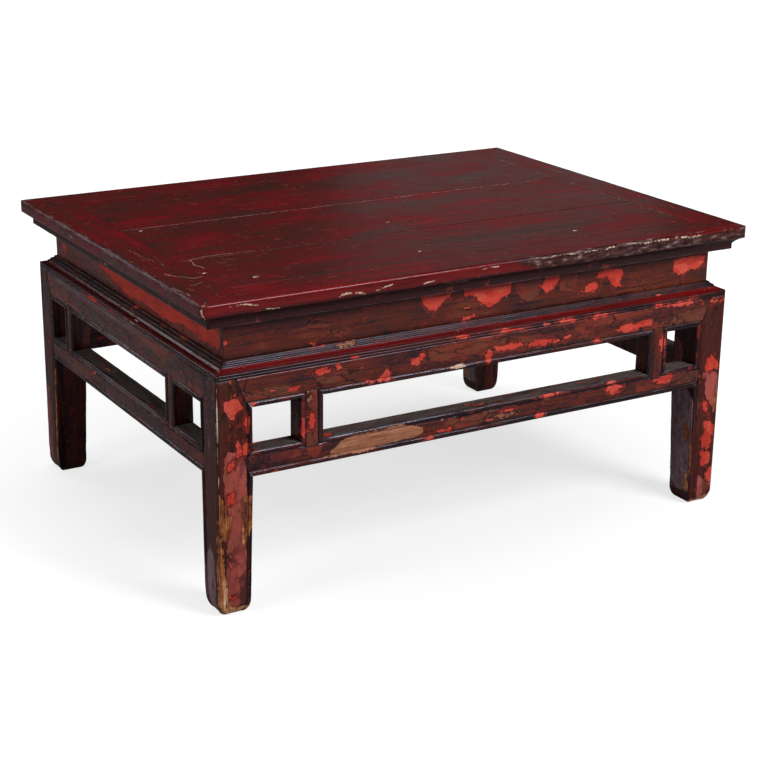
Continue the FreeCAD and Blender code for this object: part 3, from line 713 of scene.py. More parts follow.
@dataclass(frozen=True)
class Lacquer:
    """Old brushed lacquer over a vermilion ground on wood.

    Many thin brushed coats give a deep, slightly uneven satin surface. Where it is knocked
    the coats flake off in ragged pieces down to the vermilion, and where it is rubbed for
    years the ground goes too and the bare, darkened wood shows. Dirt stays in the quirks.
    The fillet under the top gets painted shade, and the pale wear on the arrises and the
    mauve dulling are partly painted highlights.
    The fields from roughness to drifting are shares, and the rest say how large each
    pattern is and what is drawn from listed points.
    """

    name: str
    grain: Grain
    coats: tuple = ((0.37, "#1C1216"), (0.45, "#3E1D19"), (0.54, "#5E2214"), (0.63, "#5A321F"))
    under: tuple = ((0.34, "#50241A"), (0.46, "#7C2E1E"), (0.56, "#723422"), (0.66, "#683A26"))
    ground: tuple = ((0.30, "#962A1E"), (0.48, "#C23828"), (0.70, "#C85844"))
    film: str = "#74281B"
    # mauve dulling colours, also used for painted highlights and a painted reflection
    bloom_and_highlight: tuple = ((0.36, "#3E2C30"), (0.50, "#66545A"), (0.64, "#928088"))
    wood: tuple = ((0.36, "#5C3622"), (0.50, "#985E42"), (0.66, "#BC8660"))
    # pale wear on the arrises, partly a painted highlight line
    scuff_and_highlight: str = "#6E6268"
    dust: tuple = ((0.38, "#26211F"), (0.62, "#6A6462"))
    clean: tuple = ((0.36, "#400A09"), (0.62, "#6A0F0C"))
    bead: tuple = ((0.38, "#0F0B10"), (0.50, "#1C1114"), (0.60, "#4C1C14"), (0.68, "#2A1B18"))
    smear: str = "#22131A"
    # painted shade: the near-black colour of the fillet and the band's lower edge under the top
    shade: str = "#2C1512"
    dirt: str = "#0E0809"
    cream: tuple = ((0.38, "#8A6A58"), (0.52, "#BE9E88"), (0.66, "#DCC8B4"))
    # weathered grey; its palest stop is a painted glint
    grey: tuple = ((0.42, "#140B0B"), (0.48, "#341D18"), (0.54, "#4C302A"), (0.59, "#6C5C58"),
                   (0.66, "#B0A4A6"))
    scratched: str = "#AE8C80"
    chipped: str = "#CDB29C"
    tint: str = "#DAD5EE"
    roughness: float = 0.27
    dulling: float = 0.06
    shine: float = 0.35
    flaking: float = 0.0
    slivering: float = 0.13
    shedding: float = -0.12
    thinning: float = 0.28
    smearing: float = 0.10
    cracking: float = 0.80
    mottle: float = 0.25
    scuffing_and_highlight: float = 0.55
    grime: float = 0.45
    drifting: float = 0.5
    streak_mm: float = 5.0
    run_mm: float = 110.0
    drift_mm: float = 70.0
    torn_mm: float = 13.0
    fibre_mm: tuple = (40.0, 1.8)
    tooth_mm: float = 3.2
    sliver_mm: float = 2.4
    shard_mm: float = 7.0
    slab_mm: float = 22.0
    grit_mm: float = 2.2
    pit_mm: tuple = (16.0, 4.5)
    pale_feet_mm: float = 120.0
    swell_mm: float = 11.0
    waviness: float = 1.5
    crack_mm: tuple = (70.4, 22.0)
    crack_sway_mm: float = 12.0
    crack_width: float = 0.035
    bump_mm: float = 0.7
    scratch_wander_mm: tuple = (9.0, 9.0, 0.0)
    chip_wander_mm: tuple = (9.0, 0.0, 5.0)
    scratches: tuple = ()
    chips: tuple = ()

    def material(self) -> bpy.types.Material:
        """Build the finish's node tree.

        Returns:
            The new material.
        """
        material = bpy.data.materials.new(self.name)
        add = partial(add_node, empty_tree(material))
        seen = Surface(add, self)
        self.age(seen)
        self.break_open(seen)
        self.soil(seen)
        for scratch in self.scratches:
            self.scratch(seen, seen.fibre, scratch, self.scratched)
        lumps = add("Mix", {0: 0.4, 2: seen.torn, 3: seen.grit})
        for chip in self.chips:
            self.scratch(seen, lumps, chip, self.chipped, on_band=True)
        height = add("Math", {0: seen.grit, 1: 0.10, 2: seen.height},
                     operation="MULTIPLY_ADD")
        bump = add("Bump", {"Height": height, "Strength": 0.6, "Distance": self.bump_mm * MM})
        shader = add("BsdfPrincipled", {
            "Base Color": seen.colour, "Roughness": seen.roughness, "Normal": bump,
            "IOR": 1.5, "Specular IOR Level": self.shine,
            "Specular Tint": linear(self.tint)})
        add("OutputMaterial", {"Surface": shader})
        return material

    def age(self, seen: Surface) -> None:
        """Lay what years do to an unbroken coat (thin places, cracks, dust and dulling, the dulling
        partly painted highlight) and the painted shade under the top's overhang.

        Args:
            seen: The surface so far.
        """
        add = seen.add
        slabs = seen.cells(self.slab_mm, 4.0)
        thin = seen.pick(slabs[0], add("Math", {0: seen.broad, 1: self.thinning}), 4.0)
        rubbed = seen.roughen(Wear.RUBBED, seen.ragged, 1.0)
        tone = add("Mix", {0: 0.35, 2: seen.drift, 3: seen.streak})
        seen.lay(add("Math", {0: rubbed, 1: thin}, operation="MAXIMUM"), self.under, 0.34,
                 tone=add("Mix", {0: 0.25, 2: tone, 3: slabs[1]}), edge=0.05, rim=0.5,
                 amount=0.9, depth=0.5)
        smeared = add("Math", {0: seen.broad, 1: self.smearing})
        seen.lay(seen.pick(slabs[2], smeared, 2.0), self.smear, 0.24, edge=0.3, amount=0.7)
        moved = add("VectorMath", {0: seen.torn.outputs["Color"], 1: (self.crack_sway_mm * MM,) * 3,
                                   2: seen.place}, operation="MULTIPLY_ADD")
        laid = add("Mapping", {"Vector": moved, "Scale": seen.stretch(*self.crack_mm)})
        crack = add("TexVoronoi", {"Vector": laid, "Scale": 1.0}, feature="DISTANCE_TO_EDGE")
        near = add("MapRange", {"Value": crack.outputs["Distance"], "From Max": self.crack_width,
                                "To Min": self.cracking, "To Max": 0.0})
        seen.lay(near, self.dirt, 0.4, noise=seen.drift, spread=2.2, edge=0.12, amount=0.75,
                 depth=0.7)
        seen.lay(Wear.BEADED, self.bead, 0.2, tone=seen.streak, noise=seen.fibre,
                 spread=0.25, edge=0.05, amount=0.9)
        seen.lay(Wear.DUSTY, self.dust, 0.6, tone=seen.fibre, noise=seen.fibre, spread=1.2,
                 edge=0.25, amount=0.8)
        # painted shade: a near-black layer on the fillet and the band's lower edge under the top's
        # overhang
        seen.lay(Wear.SHADED, self.shade, 0.5, noise=seen.ragged, spread=0.8, edge=0.15,
                 amount=0.9)
        pits = seen.noise(*self.pit_mm, detail=7.0)
        seen.lay(Wear.GREYED, self.grey, 0.34, tone=add("Mix", {0: 0.25, 2: pits,
                                                                3: seen.grit}),
                 noise=seen.brushed, spread=1.6, edge=0.12, amount=0.90, depth=0.3)
        # mauve dulling, partly painted highlight along the end bands and a painted reflection on
        # the foot
        seen.lay(Wear.BLOOMED, self.bloom_and_highlight, 0.28, tone=seen.brushed, noise=seen.brushed,
                 spread=1.6, edge=0.14, amount=0.75)

    def break_open(self, seen: Surface) -> None:
        """Lay what shows where the coat has flaked off, down to the ground and the wood.

        Args:
            seen: The surface so far.
        """
        add = seen.add
        arris = add("Attribute", attribute_name=Wear.ARRIS.value).outputs["Fac"]
        shards = seen.cells(self.shard_mm, 2.6)
        slivers = seen.cells(self.sliver_mm, 7.0)
        stray = add("Math", {0: seen.broad, 1: 0.25, 2: self.flaking},
                    operation="MULTIPLY_ADD")
        shed = add("Math", {0: seen.broad, 1: self.shedding})
        shed = add("Math", {0: arris, 1: self.slivering, 2: shed}, operation="MULTIPLY_ADD")
        flaked = seen.roughen(Wear.FLAKED, seen.ragged, 1.5)
        seen.lay(add("Math", {0: flaked, 1: 0.18}), self.film, 0.35, noise=shards[2],
                 spread=0.5, edge=0.04, rim=0.4, amount=0.75, depth=0.5)
        bared = add("Math", {0: flaked, 1: seen.pick(shards[1], stray, 6.0)},
                    operation="MAXIMUM")
        bared = add("Math", {0: bared, 1: seen.pick(slivers[1], shed, 5.0)},
                    operation="MAXIMUM")
        tone = add("Mix", {0: 0.35, 2: seen.drift, 3: shards[2]})
        seen.lay(bared, self.ground, 0.5, tone=add("Mix", {0: 0.35, 2: tone, 3: seen.fibre}),
                 rim=0.75, depth=1.6)
        lumps = add("Mix", {0: 0.45, 2: seen.torn, 3: seen.speckle})
        height = add("SeparateXYZ", {0: seen.place}).outputs["Z"]
        paler = add("MapRange", {"Value": height, "From Max": self.pale_feet_mm * MM,
                                 "To Min": 0.08, "To Max": 0.0})
        flecks = add("Mix", {0: self.mottle, 2: seen.fibre, 3: lumps})
        seen.lay(Wear.BARE, self.wood, 0.5, tone=add("Math", {0: flecks, 1: paler}),
                 noise=seen.ragged, spread=1.1, edge=0.04, rim=0.5, depth=1.8)
        tone = add("Mix", {0: 0.45, 2: seen.streak, 3: seen.fibre})
        seen.lay(Wear.CLEAN, self.clean, 0.2, tone=tone, noise=seen.ragged, spread=0.6,
                 edge=0.06)
        # pale broken line on the arrises: wear, and partly a painted highlight
        scuffed_and_highlit = add("Math", {0: arris, 1: self.scuffing_and_highlight}, operation="MULTIPLY")
        seen.lay(scuffed_and_highlit, self.scuff_and_highlight, 0.3, noise=seen.brushed, spread=1.6, edge=0.12,
                 amount=0.5)

    def soil(self, seen: Surface) -> None:
        """Lay the dirt in the quirks, the grime all over, and the fresh cream chips.

        Args:
            seen: The surface so far.
        """
        add = seen.add
        recess = add("Attribute", attribute_name=Wear.RECESS.value).outputs["Fac"]
        filled = add("Math", {0: recess, 1: 0.85}, operation="MULTIPLY")
        seen.lay(filled, self.dirt, 0.7, noise=seen.ragged, spread=0.6, edge=0.25,
                 amount=0.9)
        seen.lay(0.36, self.dirt, 0.5, noise=seen.speckle, spread=2.2, edge=0.1,
                 amount=self.grime)
        seen.lay(Wear.CHIPPED, self.cream, 0.5, tone=seen.fibre, noise=seen.brushed,
                 spread=1.7, edge=0.06, rim=0.6, depth=1.2)

    def scratch(self, seen: Surface, gaps: Feed, scratch: tuple, colour: str,
                on_band: bool = False) -> None:
        """Draw one pale, broken line: a scratch on the top, or a chip on its front band.

        Args:
            seen: The surface so far.
            gaps: A noise that breaks the line up.
            scratch: How strong it is, its width and the points that it joins, each by its
                place along the top and either from front to back or in height.
            colour: Its hex colour.
            on_band: Whether it lies on the front band instead of the top.
        """
        add = seen.add
        strong, width, points = scratch
        wander = Vector(self.chip_wander_mm if on_band else self.scratch_wander_mm) * MM
        moved = add("VectorMath", {0: seen.sway, 1: wander, 2: seen.place},
                    operation="MULTIPLY_ADD")
        ends = [Vector((a, BAND_Y, b) if on_band else (a, b, TOP_HEIGHT)) * MM
                for a, b in points]
        nearest = None
        for start, end in zip(ends, ends[1:]):
            run = end - start
            offset = add("VectorMath", {0: moved, 1: start}, operation="SUBTRACT")
            if on_band:
                offset = add("VectorMath", {0: offset, 1: BAND_FLATTENING},
                             operation="MULTIPLY")
            share = add("VectorMath", {0: offset, 1: run / run.length_squared},
                        operation="DOT_PRODUCT").outputs["Value"]
            along = add("VectorMath", {0: run, "Scale": add("Clamp", {"Value": share})},
                        operation="SCALE")
            gap = add("VectorMath", {0: offset, 1: along}, operation="DISTANCE"
                      ).outputs["Value"]
            nearest = gap if nearest is None else add("Math", {0: nearest, 1: gap},
                                                      operation="MINIMUM")
        near = add("MapRange", {"Value": nearest, "From Max": width * MM, "To Min": strong,
                                "To Max": 0.0})
        if on_band:
            broken = add("MapRange", {"Value": gaps, "From Min": 0.42, "From Max": 0.51})
            near = add("Math", {0: near, 1: broken}, operation="MULTIPLY")
        seen.lay(near, colour, 0.5, noise=gaps, spread=1.6 if on_band else 1.2, edge=0.10,
                 rim=0.75 if on_band else 0.0, amount=0.85)


@dataclass(frozen=True)
class PlanedWood:
    """Planed softwood that was never lacquered: matt, with darker late wood in stripes."""

    name: str = "planed_softwood"
    grain: Grain = Grain.CROSSWISE
    pale: str = "#9A7650"
    dark: str = "#6B4A30"
    stripe_mm: float = 3.0
    run_mm: float = 90.0

    def material(self) -> bpy.types.Material:
        """Build the finish's node tree.

        Returns:
            The new material.
        """
        material = bpy.data.materials.new(self.name)
        add = partial(add_node, empty_tree(material))
        scale = tuple(1 / (MM * (self.run_mm if axis == self.grain.value else self.stripe_mm))
                      for axis in range(3))
        along = add("Mapping", {"Vector": add("TexCoord").outputs["Object"], "Scale": scale})
        stripe = add("TexNoise", {"Vector": along, "Scale": 1.0, "Detail": 5.0})
        colour = add("ValToRGB", {"Fac": stripe}, ((0.4, self.dark), (0.6, self.pale)))
        bump = add("Bump", {"Height": stripe, "Strength": 0.4, "Distance": 0.0004})
        shader = add("BsdfPrincipled", {"Base Color": colour, "Roughness": 0.7,
                                        "Normal": bump})
        add("OutputMaterial", {"Surface": shader})
        return material


# Timbers

@dataclass
class Timber:
    """One timber of the table, made from its CAD node.

    Attributes:
        node: The CAD node that it stands for.
        grain: The axis that its grain runs along.
        slot: The record's material slot that its finish belongs to.
        along: The spacing of the sawn rows along the grain.
        across: Their spacing across the grain.
        ease: The width of the bevel on every sharp edge.
        knock: How deep the arrises are knocked and rubbed in.
        beads: The number of the axis and the side, -1 or 1, of each edge with a bead.
        end_rows: How far from both ends of the grain more rows are sawn.
        corner_radius: How round the table's outer corners are worn where it reaches them.
    """

    node: str
    grain: Grain
    slot: str
    along: float = 7.0
    across: float = 5.0
    ease: float = 0.35
    knock: float = 0.9
    beads: tuple = ()
    end_rows: tuple = ()
    corner_radius: float = 5.0
    piece: bpy.types.Object | None = None

    def build(self) -> None:
        """Copy the node's solid, ease it, saw it into rows and knock its arrises."""
        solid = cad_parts[self.node]
        self.piece = bpy.data.objects.new(f"{self.node}_worn", solid.data.copy())
        bpy.context.scene.collection.objects.link(self.piece)
        activate(self.piece)
        bpy.ops.object.mode_set(mode="EDIT")
        bpy.ops.mesh.select_all(action="SELECT")
        bpy.ops.mesh.customdata_custom_splitnormals_clear()
        bpy.ops.mesh.remove_doubles(threshold=0.01 * MM)
        bpy.ops.mesh.dissolve_limited(angle_limit=math.radians(1))
        bpy.ops.object.mode_set(mode="OBJECT")
        apply_modifier(self.piece, "BEVEL", width=self.ease * MM, segments=2,
                       limit_method="ANGLE", angle_limit=math.radians(50),
                       use_clamp_overlap=False)
        self.saw()
        self.knock_arrises()
        self.round_corners()
        self.keep_within_node()

    def saw(self) -> None:
        """Bisect the piece into rows along and across its grain."""
        low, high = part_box(self.node)
        bpy.ops.object.mode_set(mode="EDIT")
        for axis in range(3):
            spacing = (self.along if axis == self.grain.value else self.across) * MM
            rows = max(1, round((high[axis] - low[axis]) / spacing))
            normal = [1.0 if axis == other else 0.0 for other in range(3)]
            places = [low[axis] + (high[axis] - low[axis]) * row / rows
                      for row in range(1, rows)]
            if axis == self.grain.value:
                places += [low[axis] + step * MM for step in self.end_rows]
                places += [high[axis] - step * MM for step in self.end_rows]
            for where in places:
                bpy.ops.mesh.select_all(action="SELECT")
                bpy.ops.mesh.bisect(plane_co=[n * where for n in normal], plane_no=normal)
        bpy.ops.object.mode_set(mode="OBJECT")

    def round_corners(self) -> None:
        """Wear the table's outer corners round, in the top and in the base."""
        points = read(self.piece.data.vertices, "co", 3)
        half = np.array(TOP_HALF if self.slot == "top_lacquer" else BASE_HALF)
        middle = (half - self.corner_radius) * MM
        beyond = np.clip(abs(points[:, :2]) - middle, 0, None)
        far = np.hypot(*beyond.T)
        at_corner = (beyond > 0).all(1) & (far > self.corner_radius * MM)
        share = np.where(at_corner, self.corner_radius * MM / np.maximum(far, 1e-9), 1)
        worn = np.sign(points[:, :2]) * (middle + beyond * share[:, None])
        points[:, :2] = np.where(at_corner[:, None], worn, points[:, :2])
        move(self.piece.data, points)

    def keep_within_node(self) -> None:
        """Hold every vertex inside the box of the CAD node."""
        low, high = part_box(self.node)
        points = read(self.piece.data.vertices, "co", 3)
        move(self.piece.data, np.clip(points, np.array(low), np.array(high)))

    def knock_arrises(self) -> None:
        """Push the arrises in unevenly, as years of knocks and rubbing do."""
        arris, _ = edge_turns(self.piece.data)
        x, y, z = abs(read(self.piece.data.vertices, "co", 3).T) / MM
        _, half_length, half_depth = WEAR_MAP.flat_top
        in_the_top = (z > WEAR_MAP.fillet_from + 1) & (x < half_length) & (y < half_depth)
        weights = np.clip(arris / 0.7, 0, 1) * np.where(in_the_top, SEAM_KNOCK, 1)
        group = self.piece.vertex_groups.new(name="arrises")
        for number in np.flatnonzero(weights > 0.05):
            group.add([int(number)], float(weights[number]), "REPLACE")
        texture = bpy.data.textures.get("knocks") or bpy.data.textures.new("knocks", "CLOUDS")
        texture.noise_scale = KNOCK_SPACING * MM
        texture.noise_depth = 3
        apply_modifier(self.piece, "DISPLACE", texture=texture, texture_coords="LOCAL",
                       vertex_group="arrises", strength=-self.knock * MM, mid_level=0.0)

    def dress(self, finish: bpy.types.Material) -> None:
        """Paint the wear, give the finish, and put the piece in the node's place.

        Args:
            finish: The material that it gets.
        """
        low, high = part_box(self.node)
        planes = tuple((axis, (high if side > 0 else low)[axis] / MM)
                       for axis, side in self.beads)
        WEAR_MAP.paint(self.piece.data, planes)
        self.piece.data.materials.clear()
        self.piece.data.materials.append(finish)
        activate(self.piece)
        bpy.ops.object.shade_smooth_by_angle(angle=math.radians(38))
        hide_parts(self.node)
        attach(self.piece, "root")
        log.info("%s: %d faces", self.piece.name, len(self.piece.data.polygons))


def grain_of(side: str) -> Grain:
    """Tell how the grain runs in the long members of a side.

    Args:
        side: The side's name.

    Returns:
        The axis of the grain.
    """
    return Grain.LENGTHWISE if side in ("front", "back") else Grain.CROSSWISE


@dataclass
class SubAssembly:
    """Timbers that are built and dressed together."""

    timbers: list[Timber] = field(default_factory=list)

    def build(self) -> None:
        """Build every timber."""
        for timber in self.timbers:
            timber.build()

    def dress_along(self, grain: Grain, finish: bpy.types.Material, kind: str = "") -> None:
        """Give a finish to the timbers whose grain runs one way.

        Args:
            grain: The way that it runs.
            finish: The material that they get.
            kind: How the names of their nodes start.
        """
        for timber in self.timbers:
            if timber.grain is grain and timber.node.startswith(kind):
                timber.dress(finish)


@dataclass
class FramedTop(SubAssembly):
    """The mitred frame of the top, its three boards and the two battens below them."""

    band_knock: float = 2.4
    board_row: float = 5.0
    seam_ease: float = 0.15
    scratches: tuple = (
        (0.66, 1.2, ((-330, 65), (340, 65))), (0.38, 1.2, ((-345, -110), (345, -110))),
        (0.34, 1.2, ((-200, 150), (200, 150))), (0.55, 1.1, ((345, 225), (345, -232))),
        (0.45, 1.0, ((377, 200), (379, -232))), (0.85, 1.2, ((-381, -153), (-373, -169),
                                                           (-355, -186), (-346, -181))),
        (0.80, 1.2, ((-327, -108), (-332, -137), (-328, -150))),
        (0.72, 1.1, ((-329, -107), (-304, -102), (-240, -103))),
        (0.62, 1.0, ((-374, -23), (-373, -62), (-365, -119))),
        (0.70, 1.0, ((-374, -212), (-355, -205))), (0.70, 1.0, ((-394, -222), (-393, -252))),
    )
    chips: tuple = (
        (0.82, 2.0, ((-367, 389), (-352, 390), (-330, 387))),
        (0.70, 1.6, ((-319, 379), (-302, 379))),
        (0.90, 2.6, ((-224, 382), (-212, 384), (-198, 383), (-190, 380))),
        (0.82, 2.0, ((-175, 382), (-163, 384), (-150, 387))),
        (0.78, 1.9, ((-392, 374), (-376, 372), (-361, 373))),
        (0.90, 2.0, ((-74, 374), (-59, 374), (-40, 375))),
        (0.74, 1.7, ((-107, 382), (-93, 383))), (0.82, 2.4, ((219, 391), (265, 392))),
        (0.80, 2.2, ((164, 391), (177, 392))), (0.74, 1.7, ((-23, 389), (2, 390))),
        (0.82, 1.8, ((-398, 388), (-396, 376))), (0.70, 1.7, ((100, 372), (128, 372))),
        (0.85, 3.4, ((286, 391), (318, 390))), (0.70, 1.6, ((60, 391), (150, 391))),
    )

    def build(self) -> None:
        """Build the rails and the boards."""
        for side in SIDES:
            self.timbers.append(Timber(f"top_{side}_rail", grain_of(side), "top_lacquer",
                                       along=4.5, across=3.0, ease=self.seam_ease,
                                       knock=self.band_knock, end_rows=(1.5, 3.0),
                                       corner_radius=7.0))
        for board in ("front", "middle", "back"):
            self.timbers.append(Timber(f"top_board_{board}", Grain.LENGTHWISE, "top_lacquer",
                                       along=self.board_row, across=self.board_row,
                                       ease=self.seam_ease, knock=0.2))
        super().build()

    def dress(self) -> None:
        """Lacquer the rails and the boards, and leave the battens bare."""
        coats = ((0.37, "#341A15"), (0.45, "#471C18"), (0.53, "#540E11"), (0.61, "#6C0A0E"))
        clean = ((0.38, "#240809"), (0.46, "#5C100E"), (0.60, "#781912"))
        # the end rails' arrises get a denser, paler line that is a painted highlight
        edges = {Grain.LENGTHWISE: (0.55, "#6E6268"), Grain.CROSSWISE: (0.88, "#80666A")}
        for grain in (Grain.LENGTHWISE, Grain.CROSSWISE):
            scuffing_and_highlight, scuff_and_highlight = edges[grain]
            lacquer = Lacquer(f"brushed_maroon_lacquer_{grain.name.lower()}", grain,
                              coats=coats, clean=clean, scuffing_and_highlight=scuffing_and_highlight, scuff_and_highlight=scuff_and_highlight,
                              roughness=0.25, shine=0.3, grime=0.20, drifting=0.50,
                              flaking=-0.3, slivering=0.1, shedding=-0.5, thinning=-0.6,
                              smearing=-0.6, cracking=0.0, waviness=0.5,
                              streak_mm=5.5, run_mm=260, drift_mm=130,
                              scratches=self.scratches, chips=self.chips)
            self.dress_along(grain, lacquer.material())
        wood = PlanedWood().material()
        for name in ("batten_left", "batten_right"):
            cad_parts[name].data.materials.clear()
            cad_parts[name].data.materials.append(wood)


@dataclass
class WaistAndMoulding(SubAssembly):
    """The recessed waist and the stepped moulding under it, each of four mitred strips."""

    moulding_row: float = 8.0

    def build(self) -> None:
        """Build the eight strips."""
        for side in SIDES:
            self.timbers.append(Timber(f"waist_{side}", grain_of(side), "base_lacquer",
                                       knock=0.3))
            self.timbers.append(Timber(f"moulding_{side}", grain_of(side), "base_lacquer",
                                       along=self.moulding_row, across=40.0, ease=0.2,
                                       knock=0.05, end_rows=(1.2, 2.6, 4.4)))
        super().build()

    def dress(self) -> None:
        """Lacquer the waist in a warm brown red and the moulding in near black."""
        warm = ((0.38, "#2A161A"), (0.45, "#472016"), (0.53, "#5A2012"), (0.62, "#6C341C"))
        dark = ((0.38, "#160E10"), (0.47, "#281413"), (0.54, "#431A14"), (0.62, "#3A2419"))
        # the end sides' ground is darker, partly painted shade
        grounds = {Grain.LENGTHWISE: Lacquer.ground,
                   Grain.CROSSWISE: ((0.30, "#98281A"), (0.62, "#C23826"))}
        # the end sides' cove is darker, as painted shade
        coves = {Grain.LENGTHWISE: Lacquer.clean,
                 Grain.CROSSWISE: ((0.36, "#320605"), (0.62, "#500A08"))}
        for grain in (Grain.LENGTHWISE, Grain.CROSSWISE):
            word = grain.name.lower()
            waist = Lacquer(f"brushed_brown_lacquer_{word}", grain, coats=warm,
                            flaking=-0.1, thinning=0.0, smearing=0.05, scuffing_and_highlight=0.3,
                            cracking=0.45, ground=grounds[grain]).material()
            moulding = Lacquer(f"brushed_black_lacquer_{word}", grain, coats=dark,
                               thinning=-0.05, smearing=0.1, roughness=0.30,
                               dulling=0.09, waviness=0.6, scuffing_and_highlight=0.35, shine=0.28,
                               cracking=0.0, clean=coves[grain]).material()
            self.dress_along(grain, waist, "waist")
            self.dress_along(grain, moulding, "moulding")


@dataclass
class BeadedFrame(SubAssembly):
    """The aprons, the lower rails and the short struts between them."""

    def build(self) -> None:
        """Build the sixteen members."""
        for side in SIDES:
            for kind, beads in (("apron", ((2, -1),)), ("rail", ((2, -1), (2, 1)))):
                self.timbers.append(Timber(f"{kind}_{side}", grain_of(side), "base_lacquer",
                                           beads=beads))
            across = grain_of(side).value
            for end in "ab":
                self.timbers.append(Timber(f"strut_{side}_{end}", Grain.UPRIGHT,
                                           "base_lacquer",
                                           beads=((across, -1), (across, 1))))
        super().build()

    def dress(self) -> None:
        """Lacquer the members, each along its own grain."""
        for grain in Grain:
            lacquer = Lacquer(f"flaked_red_brown_lacquer_{grain.name.lower()}", grain)
            self.dress_along(grain, lacquer.material())


@dataclass
class Legs(SubAssembly):
    """The four legs, with feet whose lower edges are rounded by dragging."""

    centre_x: float = 359.0
    centre_y: float = 267.0
    foot_radius: float = 18.0
    foot_inset: float = 8.5
    half_width: float = 22.0
    foot_rows: tuple = (0.5, 1.3, 2.6, 4.4, 6.6, 9.4, 13.0)

    def build(self) -> None:
        """Build the legs and round their feet."""
        for y_name, y_sign in (("front", -1), ("back", 1)):
            for x_name, x_sign in (("left", -1), ("right", 1)):
                leg = Timber(f"leg_{y_name}_{x_name}", Grain.UPRIGHT, "base_lacquer",
                             knock=1.2, beads=((0, -x_sign), (1, -y_sign)))
                leg.build()
                self.round_foot(leg.piece, x_sign * self.centre_x, y_sign * self.centre_y)
                self.timbers.append(leg)

    def round_foot(self, piece: bpy.types.Object, centre_x: float, centre_y: float) -> None:
        """Saw rows close above the floor and draw them in to a rounded end.

        Args:
            piece: The leg.
            centre_x: The middle of its foot.
            centre_y: The same, from front to back.
        """
        activate(piece)
        bpy.ops.object.mode_set(mode="EDIT")
        for height in self.foot_rows:
            bpy.ops.mesh.select_all(action="SELECT")
            bpy.ops.mesh.bisect(plane_co=(0, 0, height * MM), plane_no=(0, 0, 1))
        bpy.ops.object.mode_set(mode="OBJECT")
        points = read(piece.data.vertices, "co", 3)
        drop = np.clip(1 - points[:, 2] / (self.foot_radius * MM), 0, 1)
        share = 1 - self.foot_inset * (1 - np.sqrt(1 - drop ** 2)) / self.half_width
        centre = np.array((centre_x, centre_y)) * MM
        points[:, :2] = centre + (points[:, :2] - centre) * share[:, None]
        move(piece.data, points)

    def dress(self) -> None:
        """Lacquer the legs along their grain."""
        finish = Lacquer("flaked_dark_lacquer_upright", Grain.UPRIGHT,
                         coats=((0.37, "#1E0F0E"), (0.45, "#3C1A16"), (0.54, "#4C1E17"),
                                (0.63, "#482816")), flaking=-0.06, thinning=-0.12,
                         ground=((0.30, "#942A20"), (0.50, "#BC392A"),
                                 (0.70, "#C65846")), shine=0.2, cracking=0.4,
                         wood=((0.40, "#301A10"), (0.48, "#743C20"), (0.56, "#AC663A"),
                               (0.66, "#E8BE94")), mottle=0.6,
                         bloom_and_highlight=((0.38, "#664A50"), (0.50, "#8C6E76"), (0.62, "#AE9CA4")),
                         under=((0.36, "#763436"), (0.45, "#AA544C"), (0.54, "#A24A40"),
                                (0.66, "#84483A"))
                         ).material()
        self.dress_along(Grain.UPRIGHT, finish)


# Studio

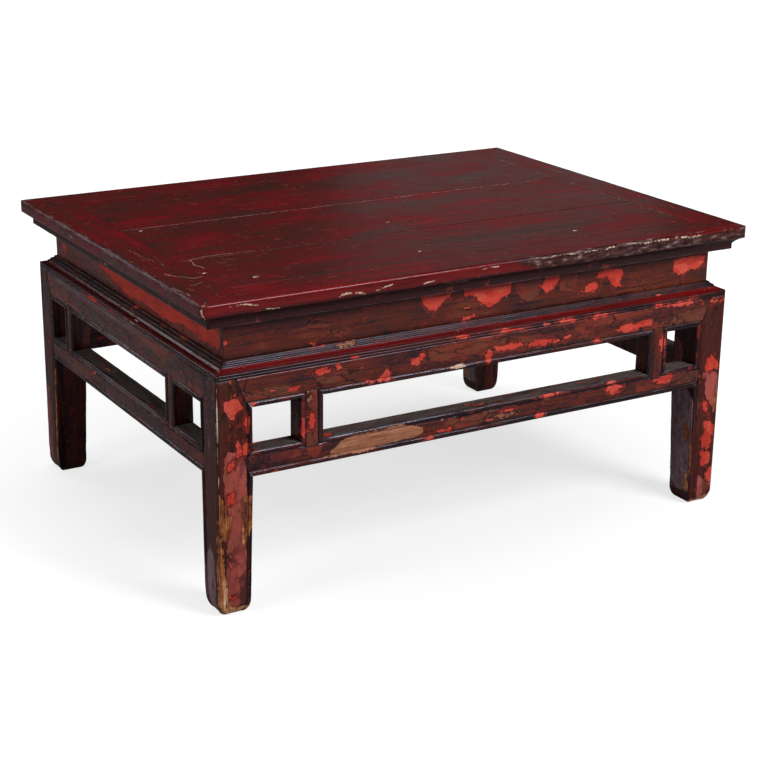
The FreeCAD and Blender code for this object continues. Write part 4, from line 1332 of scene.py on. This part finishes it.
@dataclass
class Studio:
    """A pale floor, soft lamps and the camera where the photographer's was."""

    eye: tuple[float, float, float] = (-1188.2, -2017.2, 954.3)
    yaw: float = 30.82
    pitch: float = 19.02
    roll: float = 0.69
    focal_px: float = 1762.24
    picture_px: float = 768.0
    floor_reach: float = 14000.0
    lamps: tuple = (("key_lamp", (900, -2150, 1950), 1100, 79),
                    ("left_lamp", (-2300, -500, 1500), 700, 17),
                    ("top_lamp", (-200, 700, 2300), 1000, 18),
                    ("back_lamp", (2500, 3300, 1050), 1200, 0.7),
                    ("rim_lamp", (-1500, 2400, 1700), 800, 7))
    fill: float = 0.145
    glossy_fill: float = 0.015

    def build(self) -> None:
        """Set up the camera, the floor, the lamps and the world."""
        self.place_camera()
        self.lay_floor()
        for lamp in self.lamps:
            self.hang_lamp(*lamp)
        self.light_world()

    def place_camera(self) -> None:
        """Stand the camera at the photographer's place and turn."""
        yaw, pitch, roll = (math.radians(a) for a in (self.yaw, self.pitch, self.roll))
        ahead = Vector((math.sin(yaw) * math.cos(pitch), math.cos(yaw) * math.cos(pitch),
                        -math.sin(pitch)))
        right = Vector((math.cos(yaw), -math.sin(yaw), 0))
        up = right.cross(ahead)
        level_right = right * math.cos(roll) + up * math.sin(roll)
        level_up = up * math.cos(roll) - right * math.sin(roll)
        data = bpy.data.cameras.new("camera")
        data.sensor_width = 36.0
        data.lens = data.sensor_width * self.focal_px / self.picture_px
        data.clip_end = 100.0
        camera = bpy.data.objects.new("camera", data)
        turn = Matrix((level_right, level_up, -ahead)).transposed().to_4x4()
        camera.matrix_world = Matrix.Translation(Vector(self.eye) * MM) @ turn
        bpy.context.scene.collection.objects.link(camera)
        bpy.context.scene.camera = camera

    def lay_floor(self) -> None:
        """Lay a pale floor with a painted glow for the camera that grows away from the table, so
        that it is near white and keeps the table's shadow.
        """
        bpy.ops.object.select_all(action="DESELECT")
        bpy.ops.mesh.primitive_plane_add(size=2 * self.floor_reach * MM, location=(0, 0, 0))
        floor = bpy.context.object
        floor.name = "studio_floor"
        material = bpy.data.materials.new("white_paper_with_painted_glow")
        add = partial(add_node, empty_tree(material))
        paper = add("BsdfDiffuse", {"Color": linear("#969696")})
        # painted light: for the camera only, the floor glows, less near the table and fully white
        # beyond 1.2 m
        reach = add("VectorMath", {0: add("TexCoord").outputs["Object"]}, operation="LENGTH")
        lift = add("MapRange", {"Value": reach.outputs["Value"], "From Min": 0.3,
                                "From Max": 1.2, "To Min": 0.70, "To Max": 1.0})
        glow = add("Math", {0: add("LightPath").outputs["Is Camera Ray"], 1: lift},
                   operation="MULTIPLY")
        shine = add("Emission", {"Color": linear("#FFFFFF"), "Strength": glow})
        add("OutputMaterial", {"Surface": add("AddShader", {0: paper, 1: shine})})
        floor.data.materials.append(material)

    def hang_lamp(self, name: str, place: tuple[float, float, float], width: float,
                  power: float) -> None:
        """Hang a square soft lamp that looks at the table.

        Args:
            name: The lamp's name.
            place: Where it hangs.
            width: The width of its soft box.
            power: Its power in watts.
        """
        data = bpy.data.lights.new(name, "AREA")
        data.size = width * MM
        data.energy = power
        lamp = bpy.data.objects.new(name, data)
        lamp.location = Vector(place) * MM
        aim = Vector((0, 0, 0.25)) - lamp.location
        lamp.rotation_euler = aim.to_track_quat("-Z", "Y").to_euler()
        bpy.context.scene.collection.objects.link(lamp)

    def light_world(self) -> None:
        """Fill the room with a plain light, and show it white to the camera."""
        world = bpy.data.worlds.new("studio")
        bpy.context.scene.world = world
        add = partial(add_node, empty_tree(world))
        rays = add("LightPath").outputs
        seen = add("Math", {0: rays["Is Camera Ray"], 1: rays["Is Transmission Ray"]},
                   operation="MAXIMUM")
        fill = add("MapRange", {"Value": rays["Is Glossy Ray"], "To Min": self.fill,
                                "To Max": self.glossy_fill})
        strength = add("Math", {0: seen, 1: fill}, operation="MAXIMUM")
        light = add("Background", {"Color": linear("#FFFFFF"), "Strength": strength})
        add("OutputWorld", {"Surface": light})


def main() -> None:
    """Build and dress the table, then set up the studio."""
    bpy.context.scene.view_settings.view_transform = "Standard"
    for part in (FramedTop(), WaistAndMoulding(), BeadedFrame(), Legs()):
        part.build()
        part.dress()
        log.info("%s: done", type(part).__name__)
    Studio().build()


if __name__ == "__main__":
    main()
